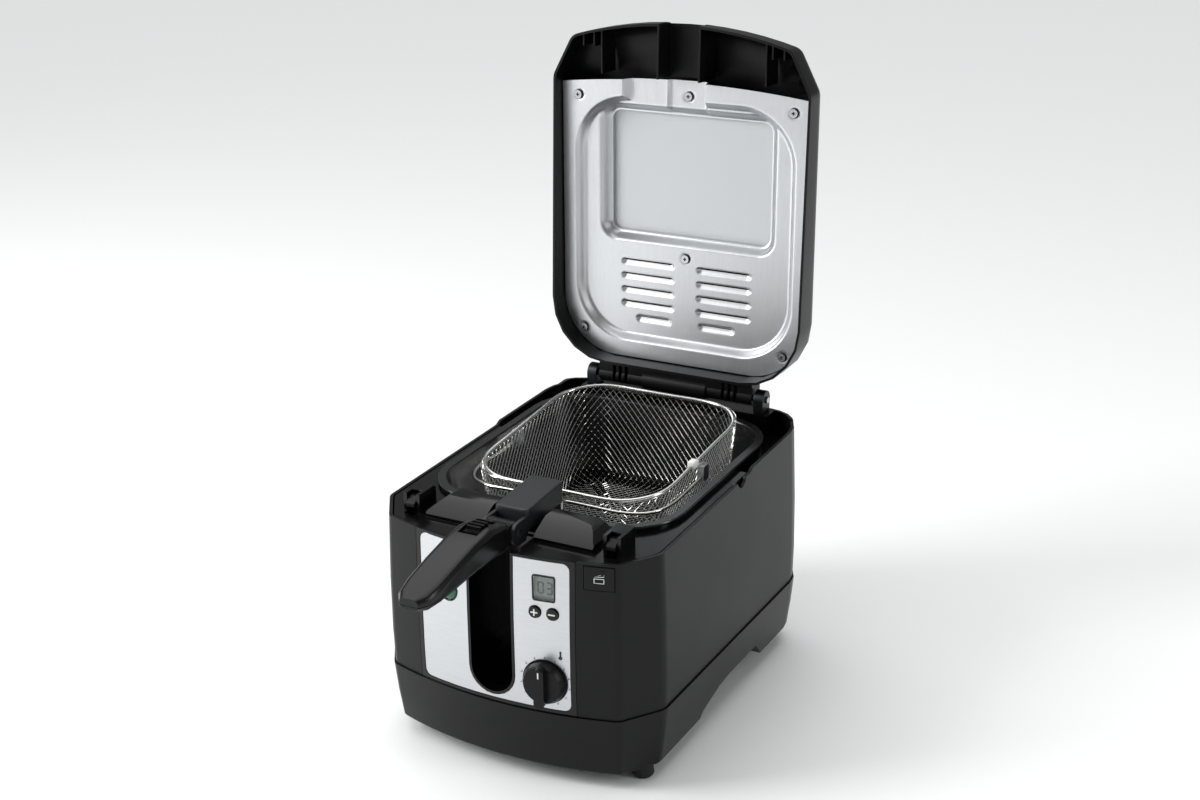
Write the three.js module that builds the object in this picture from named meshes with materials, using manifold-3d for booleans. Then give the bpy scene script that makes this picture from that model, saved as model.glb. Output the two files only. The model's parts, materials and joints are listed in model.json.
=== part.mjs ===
// Deep fryer: a sloping-topped body with a lift-out bowl, a sprung lid with a viewing window, and a
// basket hung from a hub whose handle folds down into a well in the front.
// Millimetres, +Z up, +X right, and the front faces -Y. Lengths along Y are counted from the front apex.
import * as THREE from "three";
import { mergeVertices } from "three/addons/utils/BufferGeometryUtils.js";
import Module from "manifold-3d";

const wasm = await Module();
wasm.setup();

// ---- Driving dimensions -------------------------------------------------------------------------
const CLEARANCE = 0.4; // between two pieces that meet
const RUNNING = 0.5; // round a piece that slides or turns

const bodyWidth = 269;
const bodyDepth = 358;
const frontY = -172; // the front apex
const rearY = frontY + bodyDepth;
const frontBow = 17; // how far the bowed front stands proud of its two columns
const frontCornerBack = 52; // from the apex back to the side's front corner
const columnInset = 24; // from the side face in to the column's edge
const housingWall = 3;
const baseWall = 3;
const baseBottomZ = 13.5;
const baseRearZ = 18;
const seamZ = 68.5; // where the housing stands on the base
const deckZero = 214.5; // height of the deck line at y = 0
const deckSlope = 0.0365; // rise of the deck per millimetre towards the rear
const footRadius = 9.5;
const footInsetX = 22;
const footInsetY = 54;
const rearFootInsetY = 40;

const wellHalfWidth = 19.8; // inside of the channel that the handle folds into
const wellWall = 2;
const wellDepth = 41; // from the front apex to the back of the channel
const plateHalfWidth = 71;
const plateThickness = 1;
const fasciaHalfWidth = 75.6;
const displayWidth = 17.6;
const displayHeight = 20.6;
const displayX = 49.3;
const timerButtonRadius = 5.1;
const timerButtonSpread = 15.3;
const timerTravel = 1.2;
const knobRadius = 18.6;
const knobX = 49.4;
const knobShaftRadius = 3;
const indicatorX = -42;
const indicatorRadius = 9;
const lidButtonWidth = 25;
const lidButtonHeight = 20;
const lidButtonTravel = 4;

const bowlSideGap = 16.5; // from the body's side to the bowl's rim
const bowlFrontGap = 70;
const bowlRearGap = 34;
const bowlCornerR = 52;
const bowlRimWidth = 8;
const bowlWall = 2;
const bowlFloorZ = 76;
const bowlTaper = 13; // how far the wall leans in from rim to floor

const basketSideGap = 19; // from the bowl's inside to the basket's rim wire
const basketFrontGap = 31;
const basketRearGap = 5;
const basketCornerR = 45;
const basketRimZ = 217.8; // at its front
const basketSlope = 0.104;
const basketDepth = 95;
const basketTaper = 8;
const basketWall = 1;
const rimWireRadius = 1.8;
const yokeWireRadius = 1.5;

const hubHalfWidth = 16;
const hubBackY = frontY + 97;
const hubFrontY = frontY + 37;
const hubTopZ = 229.5; // at its front
const hubTopSlope = 0.075;
const pivotY = frontY + 24; // the handle's pivot
const pivotZ = 214;
const pivotPinRadius = 3.2;
const handleKnuckleR = 10;
const handleLength = 133;
const handleHalfWidth = 17;
const handleButtonTravel = 5;

const hingeFromRear = 14.8;
const hingeZ = 238;
const hingePinRadius = 3;
const hingeBarrelR = 7.5;
const springHousingR = 9.4; // the stouter middle of the carrier
const springHousingHalf = 34;
const springRadius = 5;
const springWireRadius = 1.1;
const springHalfLength = 9;
const carrierHalfWidth = 82;
const lidOpenAngle = 91; // from level
const lidClosedAngle = 4; // below level
const lidRearGap = 15; // from the hinge line to the lid's rear edge
const lidOverhangX = 3.5; // how far the lid's side stands inside the body's widest line
const lidRearR = 60;
const lidWall = 2.5;
const lidHeight = 36; // above the hinge line
const flangeZ = 7.2; // the inner panel's flange, above the hinge line
const panelGap = 1.2; // between the inner panel and the lid's skirt
const panelThickness = 1;
const panelRecess = 8.75;
const channelRecess = 12;
const windowRecess = 18;
const windowHalfWidth = 83;
const windowFrom = 141; // from the hinge line
const windowTo = 257;
const glassThickness = 3;
const notchHalfWidth = 20;
const louverPitch = 14;
const lidScrewRadius = 4;

// ---- Values worked out from them ----------------------------------------------------------------
const halfWidth = bodyWidth / 2;
const columnX = halfWidth - columnInset;
const bowRadius = (columnX ** 2 + frontBow ** 2) / (2 * frontBow);
const bowCentreY = frontY + bowRadius;
const wellBackY = frontY + wellDepth;
const hingeY = rearY - hingeFromRear;
const lidLength = hingeY - frontY + 0.8;
const plateBottomZ = seamZ + 4;
const deckAt = (y) => deckZero + deckSlope * y;
const plateTopZ = deckAt(frontY) - 3.5;
const knobZ = plateBottomZ + 25;
const displayZ = plateTopZ - 24;
const timerZ = displayZ - 21.3;
const wellBottomZ = plateBottomZ + 5;
const indicatorZ = plateTopZ - 44.5;
const bowl = {
  halfWidth: halfWidth - bowlSideGap,
  front: frontY + bowlFrontGap,
  rear: rearY - bowlRearGap,
};
const basket = {
  halfWidth: bowl.halfWidth - bowlRimWidth - basketSideGap,
  front: bowl.front + bowlRimWidth + basketFrontGap,
  rear: bowl.rear - bowlRimWidth - basketRearGap,
};

// ---- Materials ----------------------------------------------------------------------------------
const finish = (color, roughness, metalness) =>
  new THREE.MeshStandardMaterial({ color, roughness, metalness });
const satinBlack = finish(0x1d1e20, 0.5, 0);
const glossBlack = finish(0x141517, 0.2, 0);
const charcoal = finish(0x3a3b3d, 0.6, 0);
const brushedSteel = finish(0xc8c9cb, 0.35, 1);
const satinAluminium = finish(0xd0d1d3, 0.45, 1);
const chromeWire = finish(0xd8d9da, 0.15, 1);
const enamel = finish(0x151617, 0.3, 0.1);
const clearGlass = finish(0xeef1f2, 0.05, 0);
const greyLcd = finish(0x9aa89f, 0.3, 0);
const greenLens = finish(0x0f5a3c, 0.2, 0);
const rubber = finish(0x1a1a1a, 0.9, 0);
const boardGreen = finish(0x2c5a3a, 0.6, 0);
const phenolic = finish(0x6b4a32, 0.7, 0);

// ---- Solids -------------------------------------------------------------------------------------
const SEGMENTS = 24; // round a full circle

function solid(geometry) {
  const bare = geometry.index ? geometry.toNonIndexed() : geometry.clone();
  const positions = new THREE.BufferGeometry().setAttribute("position", bare.getAttribute("position"));
  const merged = mergeVertices(positions, 1e-3);
  return new wasm.Manifold(
    new wasm.Mesh({
      numProp: 3,
      vertProperties: merged.attributes.position.array,
      triVerts: new Uint32Array(merged.index.array),
    }),
  );
}

function geometryOf(manifold) {
  const mesh = manifold.getMesh();
  const positions = new Float32Array(mesh.numVert * 3);
  for (let i = 0; i < mesh.numVert; i++)
    positions.set(mesh.vertProperties.subarray(i * mesh.numProp, i * mesh.numProp + 3), i * 3);
  const geometry = new THREE.BufferGeometry()
    .setAttribute("position", new THREE.BufferAttribute(positions, 3))
    .setIndex(new THREE.BufferAttribute(new Uint32Array(mesh.triVerts), 1));
  geometry.computeVertexNormals();
  return geometry;
}

const join = (...solids) => solids.reduce((whole, piece) => whole.add(piece));
const cut = (whole, ...cutters) => cutters.reduce((left, cutter) => left.subtract(cutter), whole);

function box(x, y, z) {
  const geometry = new THREE.BoxGeometry(x[1] - x[0], y[1] - y[0], z[1] - z[0]);
  geometry.translate((x[0] + x[1]) / 2, (y[0] + y[1]) / 2, (z[0] + z[1]) / 2);
  return solid(geometry);
}

// A bar or disc of the given radius from one point to another.
function rod(radius, from, to, segments = SEGMENTS) {
  const start = new THREE.Vector3(...from);
  const along = new THREE.Vector3(...to).sub(start);
  const geometry = new THREE.CylinderGeometry(radius, radius, along.length(), segments);
  const turn = new THREE.Quaternion().setFromUnitVectors(
    new THREE.Vector3(0, 1, 0),
    along.clone().normalize(),
  );
  geometry.applyQuaternion(turn);
  geometry.translate(...start.addScaledVector(along, 0.5));
  return solid(geometry);
}

const shapeOf = (points) => new THREE.Shape(points.map(([a, b]) => new THREE.Vector2(a, b)));

// A flat outline of [x, y] points carried up from one height to another.
function prismZ(points, z) {
  const geometry = new THREE.ExtrudeGeometry(shapeOf(points), { depth: z[1] - z[0], bevelEnabled: false });
  return solid(geometry.translate(0, 0, z[0]));
}

// An outline of [y, z] points carried along X.
function prismX(points, x) {
  const geometry = new THREE.ExtrudeGeometry(shapeOf(points), { depth: x[1] - x[0], bevelEnabled: false });
  const axes = new THREE.Matrix4().makeBasis(
    new THREE.Vector3(0, 1, 0),
    new THREE.Vector3(0, 0, 1),
    new THREE.Vector3(1, 0, 0),
  );
  return solid(geometry.applyMatrix4(axes).translate(x[0], 0, 0));
}

// An outline of [x, z] points carried along Y.
function prismY(points, y) {
  const geometry = new THREE.ExtrudeGeometry(shapeOf(points), { depth: y[1] - y[0], bevelEnabled: false });
  return solid(geometry.rotateX(Math.PI / 2).translate(0, y[1], 0));
}

// Rings of [x, y, z] points with equal counts, skinned one to the next and closed at both ends.
function loft(rings) {
  const count = rings[0].length;
  const positions = rings.flat().flat();
  const faces = [];
  for (let ring = 0; ring < rings.length - 1; ring++)
    for (let i = 0; i < count; i++) {
      const a = ring * count + i;
      const b = ring * count + ((i + 1) % count);
      faces.push(a, b, b + count, a, b + count, a + count);
    }
  const flat = (ring) => {
    const [p, q, r] = [ring[0], ring[Math.floor(count / 3)], ring[Math.floor((2 * count) / 3)]].map(
      (v) => new THREE.Vector3(...v),
    );
    const normal = q.clone().sub(p).cross(r.sub(p));
    const alongY = Math.abs(normal.y) > Math.abs(normal.z);
    return ring.map(([x, y, z]) => new THREE.Vector2(x, alongY ? z : y));
  };
  const cap = (ring) => THREE.ShapeUtils.triangulateShape(flat(rings[ring]), []);
  for (const [a, b, c] of cap(0)) faces.push(c, b, a);
  const top = (rings.length - 1) * count;
  for (const [a, b, c] of cap(rings.length - 1)) faces.push(top + a, top + b, top + c);
  const geometry = new THREE.BufferGeometry()
    .setAttribute("position", new THREE.Float32BufferAttribute(positions, 3))
    .setIndex(faces);
  const made = solid(geometry);
  if (made.volume() > 0) return made;
  for (let i = 0; i < faces.length; i += 3) [faces[i + 1], faces[i + 2]] = [faces[i + 2], faces[i + 1]];
  return solid(geometry.setIndex(faces));
}

// A wire along a smooth line through the points; a closed one has no ends.
function wire(points, radius, { closed = false, sides = 8, steps = points.length * 2 } = {}) {
  const line = new THREE.CatmullRomCurve3(points.map((p) => new THREE.Vector3(...p)), closed, "centripetal");
  if (closed) return solid(new THREE.TubeGeometry(line, steps, radius, sides, true));
  const section = Array.from({ length: sides }, (_, i) => [
    radius * Math.cos((2 * Math.PI * i) / sides),
    radius * Math.sin((2 * Math.PI * i) / sides),
  ]);
  return solid(new THREE.ExtrudeGeometry(shapeOf(section), { steps, extrudePath: line }));
}

const transformed = (manifold, matrix) => solid(geometryOf(manifold).applyMatrix4(matrix));

// ---- Outlines -----------------------------------------------------------------------------------
// A convex outline, counter-clockwise, of { x, y, r } corners moved inwards; r rounds a corner.
function inset(corners, distance, arcSteps = 5) {
  const count = corners.length;
  const edges = corners.map((from, i) => {
    const to = corners[(i + 1) % count];
    const length = Math.hypot(to.x - from.x, to.y - from.y);
    const along = { x: (to.x - from.x) / length, y: (to.y - from.y) / length };
    return { x: from.x - along.y * distance, y: from.y + along.x * distance, along };
  });
  const outline = [];
  corners.forEach((corner, i) => {
    const before = edges[(i + count - 1) % count];
    const after = edges[i];
    const turn = before.along.x * after.along.y - before.along.y * after.along.x;
    const reach = ((after.x - before.x) * after.along.y - (after.y - before.y) * after.along.x) / turn;
    const x = before.x + before.along.x * reach;
    const y = before.y + before.along.y * reach;
    if (!corner.r) {
      outline.push([x, y]);
      return;
    }
    const radius = Math.max(corner.r - distance, 1);
    const angle = Math.asin(Math.min(turn, 1));
    const centreX = x - (Math.tan(angle / 2) * before.along.x + before.along.y) * radius;
    const centreY = y - (Math.tan(angle / 2) * before.along.y - before.along.x) * radius;
    const start = Math.atan2(-before.along.x, before.along.y);
    for (let step = 0; step <= arcSteps; step++) {
      const at = start + (angle * step) / arcSteps;
      outline.push([centreX + radius * Math.cos(at), centreY + radius * Math.sin(at)]);
    }
  });
  return outline;
}

const roundedBox = (x, y, r) => [
  { x: x[1], y: y[1], r },
  { x: x[0], y: y[1], r },
  { x: x[0], y: y[0], r },
  { x: x[1], y: y[0], r },
];

// The plan of the body or the lid: straight sides, chamfered front corners and a bowed front.
function fryerPlan({ half, cornerY, column, columnY, apexY, rear, rearR, cornerR, columnR }) {
  const bow = columnY - apexY;
  const radius = (column ** 2 + bow ** 2) / (2 * bow);
  const reach = Math.asin(column / radius);
  const front = [];
  const BOW_STEPS = 12;
  for (let i = 1; i < BOW_STEPS; i++) {
    const angle = -reach + (2 * reach * i) / BOW_STEPS;
    front.push({ x: radius * Math.sin(angle), y: apexY + radius - radius * Math.cos(angle), r: 0 });
  }
  return [
    { x: half, y: rear, r: rearR },
    { x: -half, y: rear, r: rearR },
    { x: -half, y: cornerY, r: cornerR },
    { x: -column, y: columnY, r: columnR },
    ...front,
    { x: column, y: columnY, r: columnR },
    { x: half, y: cornerY, r: cornerR },
  ];
}

const bodyPlan = fryerPlan({
  half: halfWidth,
  cornerY: frontY + frontCornerBack,
  column: columnX,
  columnY: frontY + frontBow,
  apexY: frontY,
  rear: rearY,
  rearR: 42,
  cornerR: 16,
  columnR: 12,
});
const at = (outline, z) => outline.map(([x, y]) => [x, y, typeof z === "function" ? z(y) : z]);

// How far the housing's surface stands inside the plan at each height.
const TAPER = [
  [seamZ + 0.3, 0.8],
  [100, 0],
  [150, 0.4],
  [190, 1.6],
  [240, 3.6],
];
function taperAt(z) {
  const next = Math.max(1, TAPER.findIndex(([height]) => height >= z));
  const [[z0, t0], [z1, t1]] = [TAPER[next - 1], TAPER[next]];
  return t0 + ((t1 - t0) * (z - z0)) / (z1 - z0);
}

// The housing's shell between two depths below its outer surface.
function skin(outer, inner) {
  const outside = loft(TAPER.map(([z, t]) => at(inset(bodyPlan, t + outer), z)));
  const levels = TAPER.map(([z, t]) => at(inset(bodyPlan, t + inner), z));
  levels[0] = levels[0].map(([x, y]) => [x, y, seamZ - 1]);
  levels[levels.length - 1] = levels.at(-1).map(([x, y]) => [x, y, TAPER.at(-1)[0] + 1]);
  return cut(outside, loft(levels));
}

// Everything above the top edge of the housing.
const wallTop = {
  front: -1.5,
  rear: 1.5,
  stepY: frontY + 224,
  back: rearY - 25,
  backRise: 5.5,
};
const aboveWall = prismX(
  [
    [frontY - 20, deckAt(frontY - 20) + wallTop.front],
    [wallTop.stepY, deckAt(wallTop.stepY) + wallTop.front],
    [wallTop.stepY + 5, deckAt(wallTop.stepY) + wallTop.rear],
    [wallTop.back, deckAt(wallTop.back) + wallTop.rear],
    [wallTop.back + 8, deckAt(wallTop.back) + wallTop.backRise],
    [rearY + 20, deckAt(wallTop.back) + wallTop.backRise],
    [rearY + 20, 400],
    [frontY - 20, 400],
  ],
  [-halfWidth - 10, halfWidth + 10],
);
const deckShear = new THREE.Matrix4().set(1, 0, 0, 0, 0, 1, 0, 0, 0, deckSlope, 1, deckZero, 0, 0, 0, 1);

// ---- Places on the bowed front ------------------------------------------------------------------
function frontPlace(x, z) {
  const radius = bowRadius - taperAt(z);
  const angle = Math.asin(x / radius);
  return new THREE.Matrix4()
    .makeTranslation(x, bowCentreY - radius * Math.cos(angle), z)
    .multiply(new THREE.Matrix4().makeRotationZ(angle));
}
const onFront = (manifold, x, z) => transformed(manifold, frontPlace(x, z));

const parts = new THREE.Group();
function add(name, manifold, material, group = parts) {
  const mesh = new THREE.Mesh(geometryOf(manifold), material);
  mesh.name = name;
  group.add(mesh);
  return mesh;
}

// ---- Base ---------------------------------------------------------------------------------------
{
  const levels = [
    [baseBottomZ, 8],
    [baseBottomZ + 3, 5.5],
    [baseBottomZ + 28, 2],
    [seamZ, -0.7],
  ];
  const shell = loft(levels.map(([z, t]) => at(inset(bodyPlan, t), z)));
  const archFloorZ = 37.5;
  const cavity = loft([at(inset(bodyPlan, 6), archFloorZ), at(inset(bodyPlan, baseWall), seamZ + 1)]);
  const archFrontY = frontY + 122;
  const archRearY = frontY + 260;
  const arch = prismX(
    [
      [archFrontY, baseBottomZ - 5],
      [archFrontY + 14, 22],
      [archFrontY + 44, 32],
      [archFrontY + 70, 34],
      [archRearY - 16, 34],
      [archRearY - 5, baseRearZ + 6],
      [archRearY, baseRearZ],
      [rearY + 20, baseRearZ],
      [rearY + 20, baseBottomZ - 5],
    ],
    [-halfWidth - 10, halfWidth + 10],
  );
  const pocket = (y, bottomZ) => box([-columnX, columnX], y, [bottomZ + baseWall, archFloorZ + 1]);
  const frontPocket = pocket([frontY + 30, archFrontY - baseWall], baseBottomZ);
  const rearPocket = pocket([archRearY + baseWall, rearY - 16], baseRearZ);
  const glandHole = rod(7.4, [gland().x, rearY - 30, gland().z], [gland().x, rearY + 10, gland().z]);
  add("base_moulding", cut(shell, cavity, frontPocket, rearPocket, arch, glandHole), satinBlack);
}

function gland() {
  return { x: columnX - 50, z: seamZ - 18 };
}
{
  const { x, z } = gland();
  const neck = rod(7, [x, rearY - 9, z], [x, rearY + 1.4, z]);
  const flange = rod(11, [x, rearY + 1.1, z], [x, rearY + 3.2, z]);
  const hole = rod(3.6, [x, rearY - 10, z], [x, rearY + 4, z]);
  add("cord_gland", cut(join(neck, flange), hole), rubber);
}

function foot(name, x, y, topZ) {
  const profile = [
    [0, 0],
    [footRadius - 1.5, 0],
    [footRadius, 2],
    [footRadius - 0.8, topZ],
    [0, topZ],
  ].map(([r, z]) => new THREE.Vector2(r, z));
  const geometry = new THREE.LatheGeometry(profile, SEGMENTS).rotateX(Math.PI / 2).translate(x, y, 0);
  add(name, solid(geometry), rubber);
}
for (const [side, sign] of [["left", -1], ["right", 1]]) {
  const frontX = sign * (halfWidth - footInsetX);
  const rearX = frontX - sign * 7;
  foot(`foot_front_${side}`, frontX, frontY + footInsetY, baseBottomZ - CLEARANCE);
  foot(`foot_rear_${side}`, rearX, rearY - rearFootInsetY, baseRearZ - CLEARANCE);
}

// ---- Housing ------------------------------------------------------------------------------------
const lidButton = {
  x: columnX - 15.5,
  z: plateTopZ - 9.5,
};
// The room that the lid button slides in, from outside the front to the given depth behind it.
function buttonWay(depth) {
  const way = box(
    [-lidButtonWidth / 2 - RUNNING, lidButtonWidth / 2 + RUNNING],
    [-12, depth],
    [-lidButtonHeight / 2 - RUNNING, lidButtonHeight / 2 + RUNNING],
  );
  return onFront(way, lidButton.x, lidButton.z);
}
{
  const frontOpening = box(
    [-fasciaHalfWidth - CLEARANCE, fasciaHalfWidth + CLEARANCE],
    [frontY - 10, frontY + 40],
    [0, 400],
  );
  const notchY = frontY + 206;
  const notchZ = deckAt(notchY) + 1;
  const notch = rod(9, [halfWidth - 14, notchY, notchZ], [halfWidth + 10, notchY, notchZ]);
  const shell = cut(skin(0, housingWall), frontOpening, aboveWall, buttonWay(14), notch);
  add("outer_housing", shell, satinBlack);
}

// ---- Front fascia with the handle's well --------------------------------------------------------
function uOutline(half, bottomZ, topZ, steps = 12) {
  const points = [[half, topZ], [-half, topZ]];
  for (let i = 0; i <= steps; i++) {
    const angle = Math.PI + (Math.PI * i) / steps;
    points.push([half * Math.cos(angle), bottomZ + half + half * Math.sin(angle)]);
  }
  return points;
}
const rectangle = (x, z, r) => inset(roundedBox(x, z, r), 0, 4);
// The brushed plate's outline: a slab with a U cut in it for the well.
function plateBlank(grow) {
  const reach = [frontY - 20, frontY + 30];
  const half = plateHalfWidth + grow;
  const slab = prismY(rectangle([-half, half], [plateBottomZ - grow, plateTopZ + grow], 6 + grow), reach);
  const well = wellHalfWidth + wellWall + 0.6 - grow;
  return cut(slab, prismY(uOutline(well, wellBottomZ - wellWall - 0.6 + grow, 400), reach));
}
function fasciaHoles(extra) {
  const through = [-6, 12];
  const window = box(
    [-displayWidth / 2 - extra, displayWidth / 2 + extra],
    through,
    [-displayHeight / 2 - extra, displayHeight / 2 + extra],
  );
  const button = rod(timerButtonRadius + RUNNING, [0, through[0], 0], [0, through[1], 0], 20);
  const shaft = rod(knobShaftRadius + 1.5, [0, through[0], 0], [0, through[1], 0]);
  const lens = rod(indicatorRadius + extra, [0, through[0], 0], [0, through[1], 0]);
  return [
    onFront(window, displayX, displayZ),
    onFront(button, displayX - timerButtonSpread / 2, timerZ),
    onFront(button, displayX + timerButtonSpread / 2, timerZ),
    onFront(shaft, knobX, knobZ),
    onFront(lens, indicatorX, indicatorZ),
  ];
}
{
  const block = box([-fasciaHalfWidth, fasciaHalfWidth], [frontY - 10, frontY + 30], [seamZ + 0.3, 400]);
  const wellTopZ = deckAt(wellBackY) - 5;
  const wellOuter = prismY(
    uOutline(wellHalfWidth + wellWall, wellBottomZ - wellWall, wellTopZ),
    [frontY - 10, wellBackY + wellWall],
  );
  const insideSkin = loft(TAPER.map(([z, t]) => at(inset(bodyPlan, t), z)));
  const wellInner = prismY(uOutline(wellHalfWidth, wellBottomZ, 400), [frontY - 12, wellBackY]);
  const plate = skin(-1, plateThickness + 0.5).intersect(plateBlank(CLEARANCE));
  const fascia = join(skin(0, housingWall).intersect(block), wellOuter.intersect(insideSkin));
  add("control_fascia", cut(fascia, wellInner, plate, aboveWall, ...fasciaHoles(CLEARANCE)), glossBlack);
  add(
    "control_plate",
    cut(skin(0.1, 0.1 + plateThickness).intersect(plateBlank(0)), ...fasciaHoles(CLEARANCE + 0.2)),
    brushedSteel,
  );
}

// ---- Controls -----------------------------------------------------------------------------------
{
  const lens = box(
    [-displayWidth / 2, displayWidth / 2],
    [0.3, 2.6],
    [-displayHeight / 2, displayHeight / 2],
  );
  add("display_lens", onFront(lens, displayX, displayZ), clearGlass);
  const module = box(
    [-displayWidth / 2 - 1.5, displayWidth / 2 + 1.5],
    [4.3, 9.5],
    [-displayHeight / 2 - 2, displayHeight / 2 + 3],
  );
  add("display_module", onFront(module, displayX, displayZ), greyLcd);
  const board = box([-22, 22], [16, 17.6], [-44, 18]);
  add("control_board", onFront(board, displayX, displayZ), boardGreen);

  const timerButton = join(
    rod(timerButtonRadius, [0, -timerTravel - CLEARANCE, 0], [0, 6, 0], 20),
    rod(timerButtonRadius + 1.8, [0, 4.6, 0], [0, 6, 0], 20),
  );
  for (const [name, sign] of [["timer_plus_button", -1], ["timer_minus_button", 1]])
    add(name, onFront(timerButton, displayX + (sign * timerButtonSpread) / 2, timerZ), satinBlack);

  const lensProfile = [
    [0, -1.6],
    [indicatorRadius * 0.55, -1.2],
    [indicatorRadius - CLEARANCE, 0.2],
    [indicatorRadius - CLEARANCE, 5],
    [0, 5],
  ].map(([r, y]) => new THREE.Vector2(r, y));
  const indicator = solid(new THREE.LatheGeometry(lensProfile, SEGMENTS));
  add("indicator_lens", onFront(indicator, indicatorX, indicatorZ), greenLens);
}

// ---- Thermostat and its knob --------------------------------------------------------------------
{
  const KNOB_STAND = 0.7; // clear of the plate
  const skirt = [
    [0, -KNOB_STAND],
    [knobRadius, -KNOB_STAND],
    [knobRadius, -KNOB_STAND - 3],
    [knobRadius - 2.5, -KNOB_STAND - 7.5],
    [0, -KNOB_STAND - 8],
  ].map(([r, y]) => new THREE.Vector2(r, y));
  const disc = solid(new THREE.LatheGeometry(skirt.reverse(), 32));
  const gripReach = knobRadius - 1;
  const gripOutline = rectangle([-4.6, 4.6], [-gripReach, gripReach], 4);
  const grip = prismY(gripOutline, [-KNOB_STAND - 14, -KNOB_STAND - 6]);
  const socket = rod(knobShaftRadius + 0.3, [0, 1, 0], [0, -KNOB_STAND - 6, 0]);
  add("thermostat_knob", onFront(cut(join(disc, grip), socket), knobX, knobZ), satinBlack);
  const shaft = join(
    rod(knobShaftRadius, [0, -KNOB_STAND - 5.6, 0], [0, 8, 0]),
    rod(knobShaftRadius + 2, [0, 6, 0], [0, 8, 0]),
  );
  add("knob_shaft", onFront(shaft, knobX, knobZ), brushedSteel);
  const body = join(rod(15, [0, 8.4, 0], [0, 22, 0]), box([-20, 20], [9, 11], [-6, 6]));
  add("thermostat_body", onFront(body, knobX, knobZ), phenolic);
}

// ---- Lid-release button, latch bar and catches --------------------------------------------------
const latch = {
  boxX: [88, 104],
  boxY: [frontY + 34.3, frontY + 59],
  boxTop: 14.4, // above the deck line
  barY: [frontY + 45, frontY + 51],
  catchX: [91.8, 100.2],
};
{
  const cap = [
    [-lidButtonWidth / 2, lidButtonWidth / 2],
    [-10, 3],
    [-lidButtonHeight / 2, lidButtonHeight / 2],
  ];
  const followsBow = loft(TAPER.map(([z, t]) => at(inset(bodyPlan, t - 0.6), z)));
  const face = onFront(box(...cap), lidButton.x, lidButton.z).intersect(followsBow);
  const barZ = deckAt(latch.barY[0]) - 12;
  const stemX = [latch.catchX[0] + 1, latch.catchX[1] - 1];
  const stem = box(stemX, [frontY + 14, latch.barY[0] - CLEARANCE], [barZ + 0.6, barZ + 4.4]);
  add("lid_button", join(face, stem), satinBlack);
  const barEnd = latch.catchX[1] + 2;
  add("latch_bar", box([-barEnd, barEnd], latch.barY, [barZ, barZ + 5]), satinAluminium);
  for (const [side, sign] of [["left", -1], ["right", 1]]) {
    const x = latch.catchX.map((edge) => edge * sign).sort((a, b) => a - b);
    const [front, back] = [latch.boxY[0] - 2.6, latch.barY[1]];
    const deck = deckAt(latch.boxY[0]);
    const wedge = prismX(
      [
        [front, deck + 3],
        [back - 3, deck + 3],
        [back - 3, barZ + 5 + CLEARANCE],
        [back, barZ + 5 + CLEARANCE],
        [back, deck + 11],
        [front + 6, deck + 11],
        [front, deck + 6.5],
      ],
      x,
    );
    add(`latch_catch_${side}`, wedge, satinBlack);
  }
}

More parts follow.
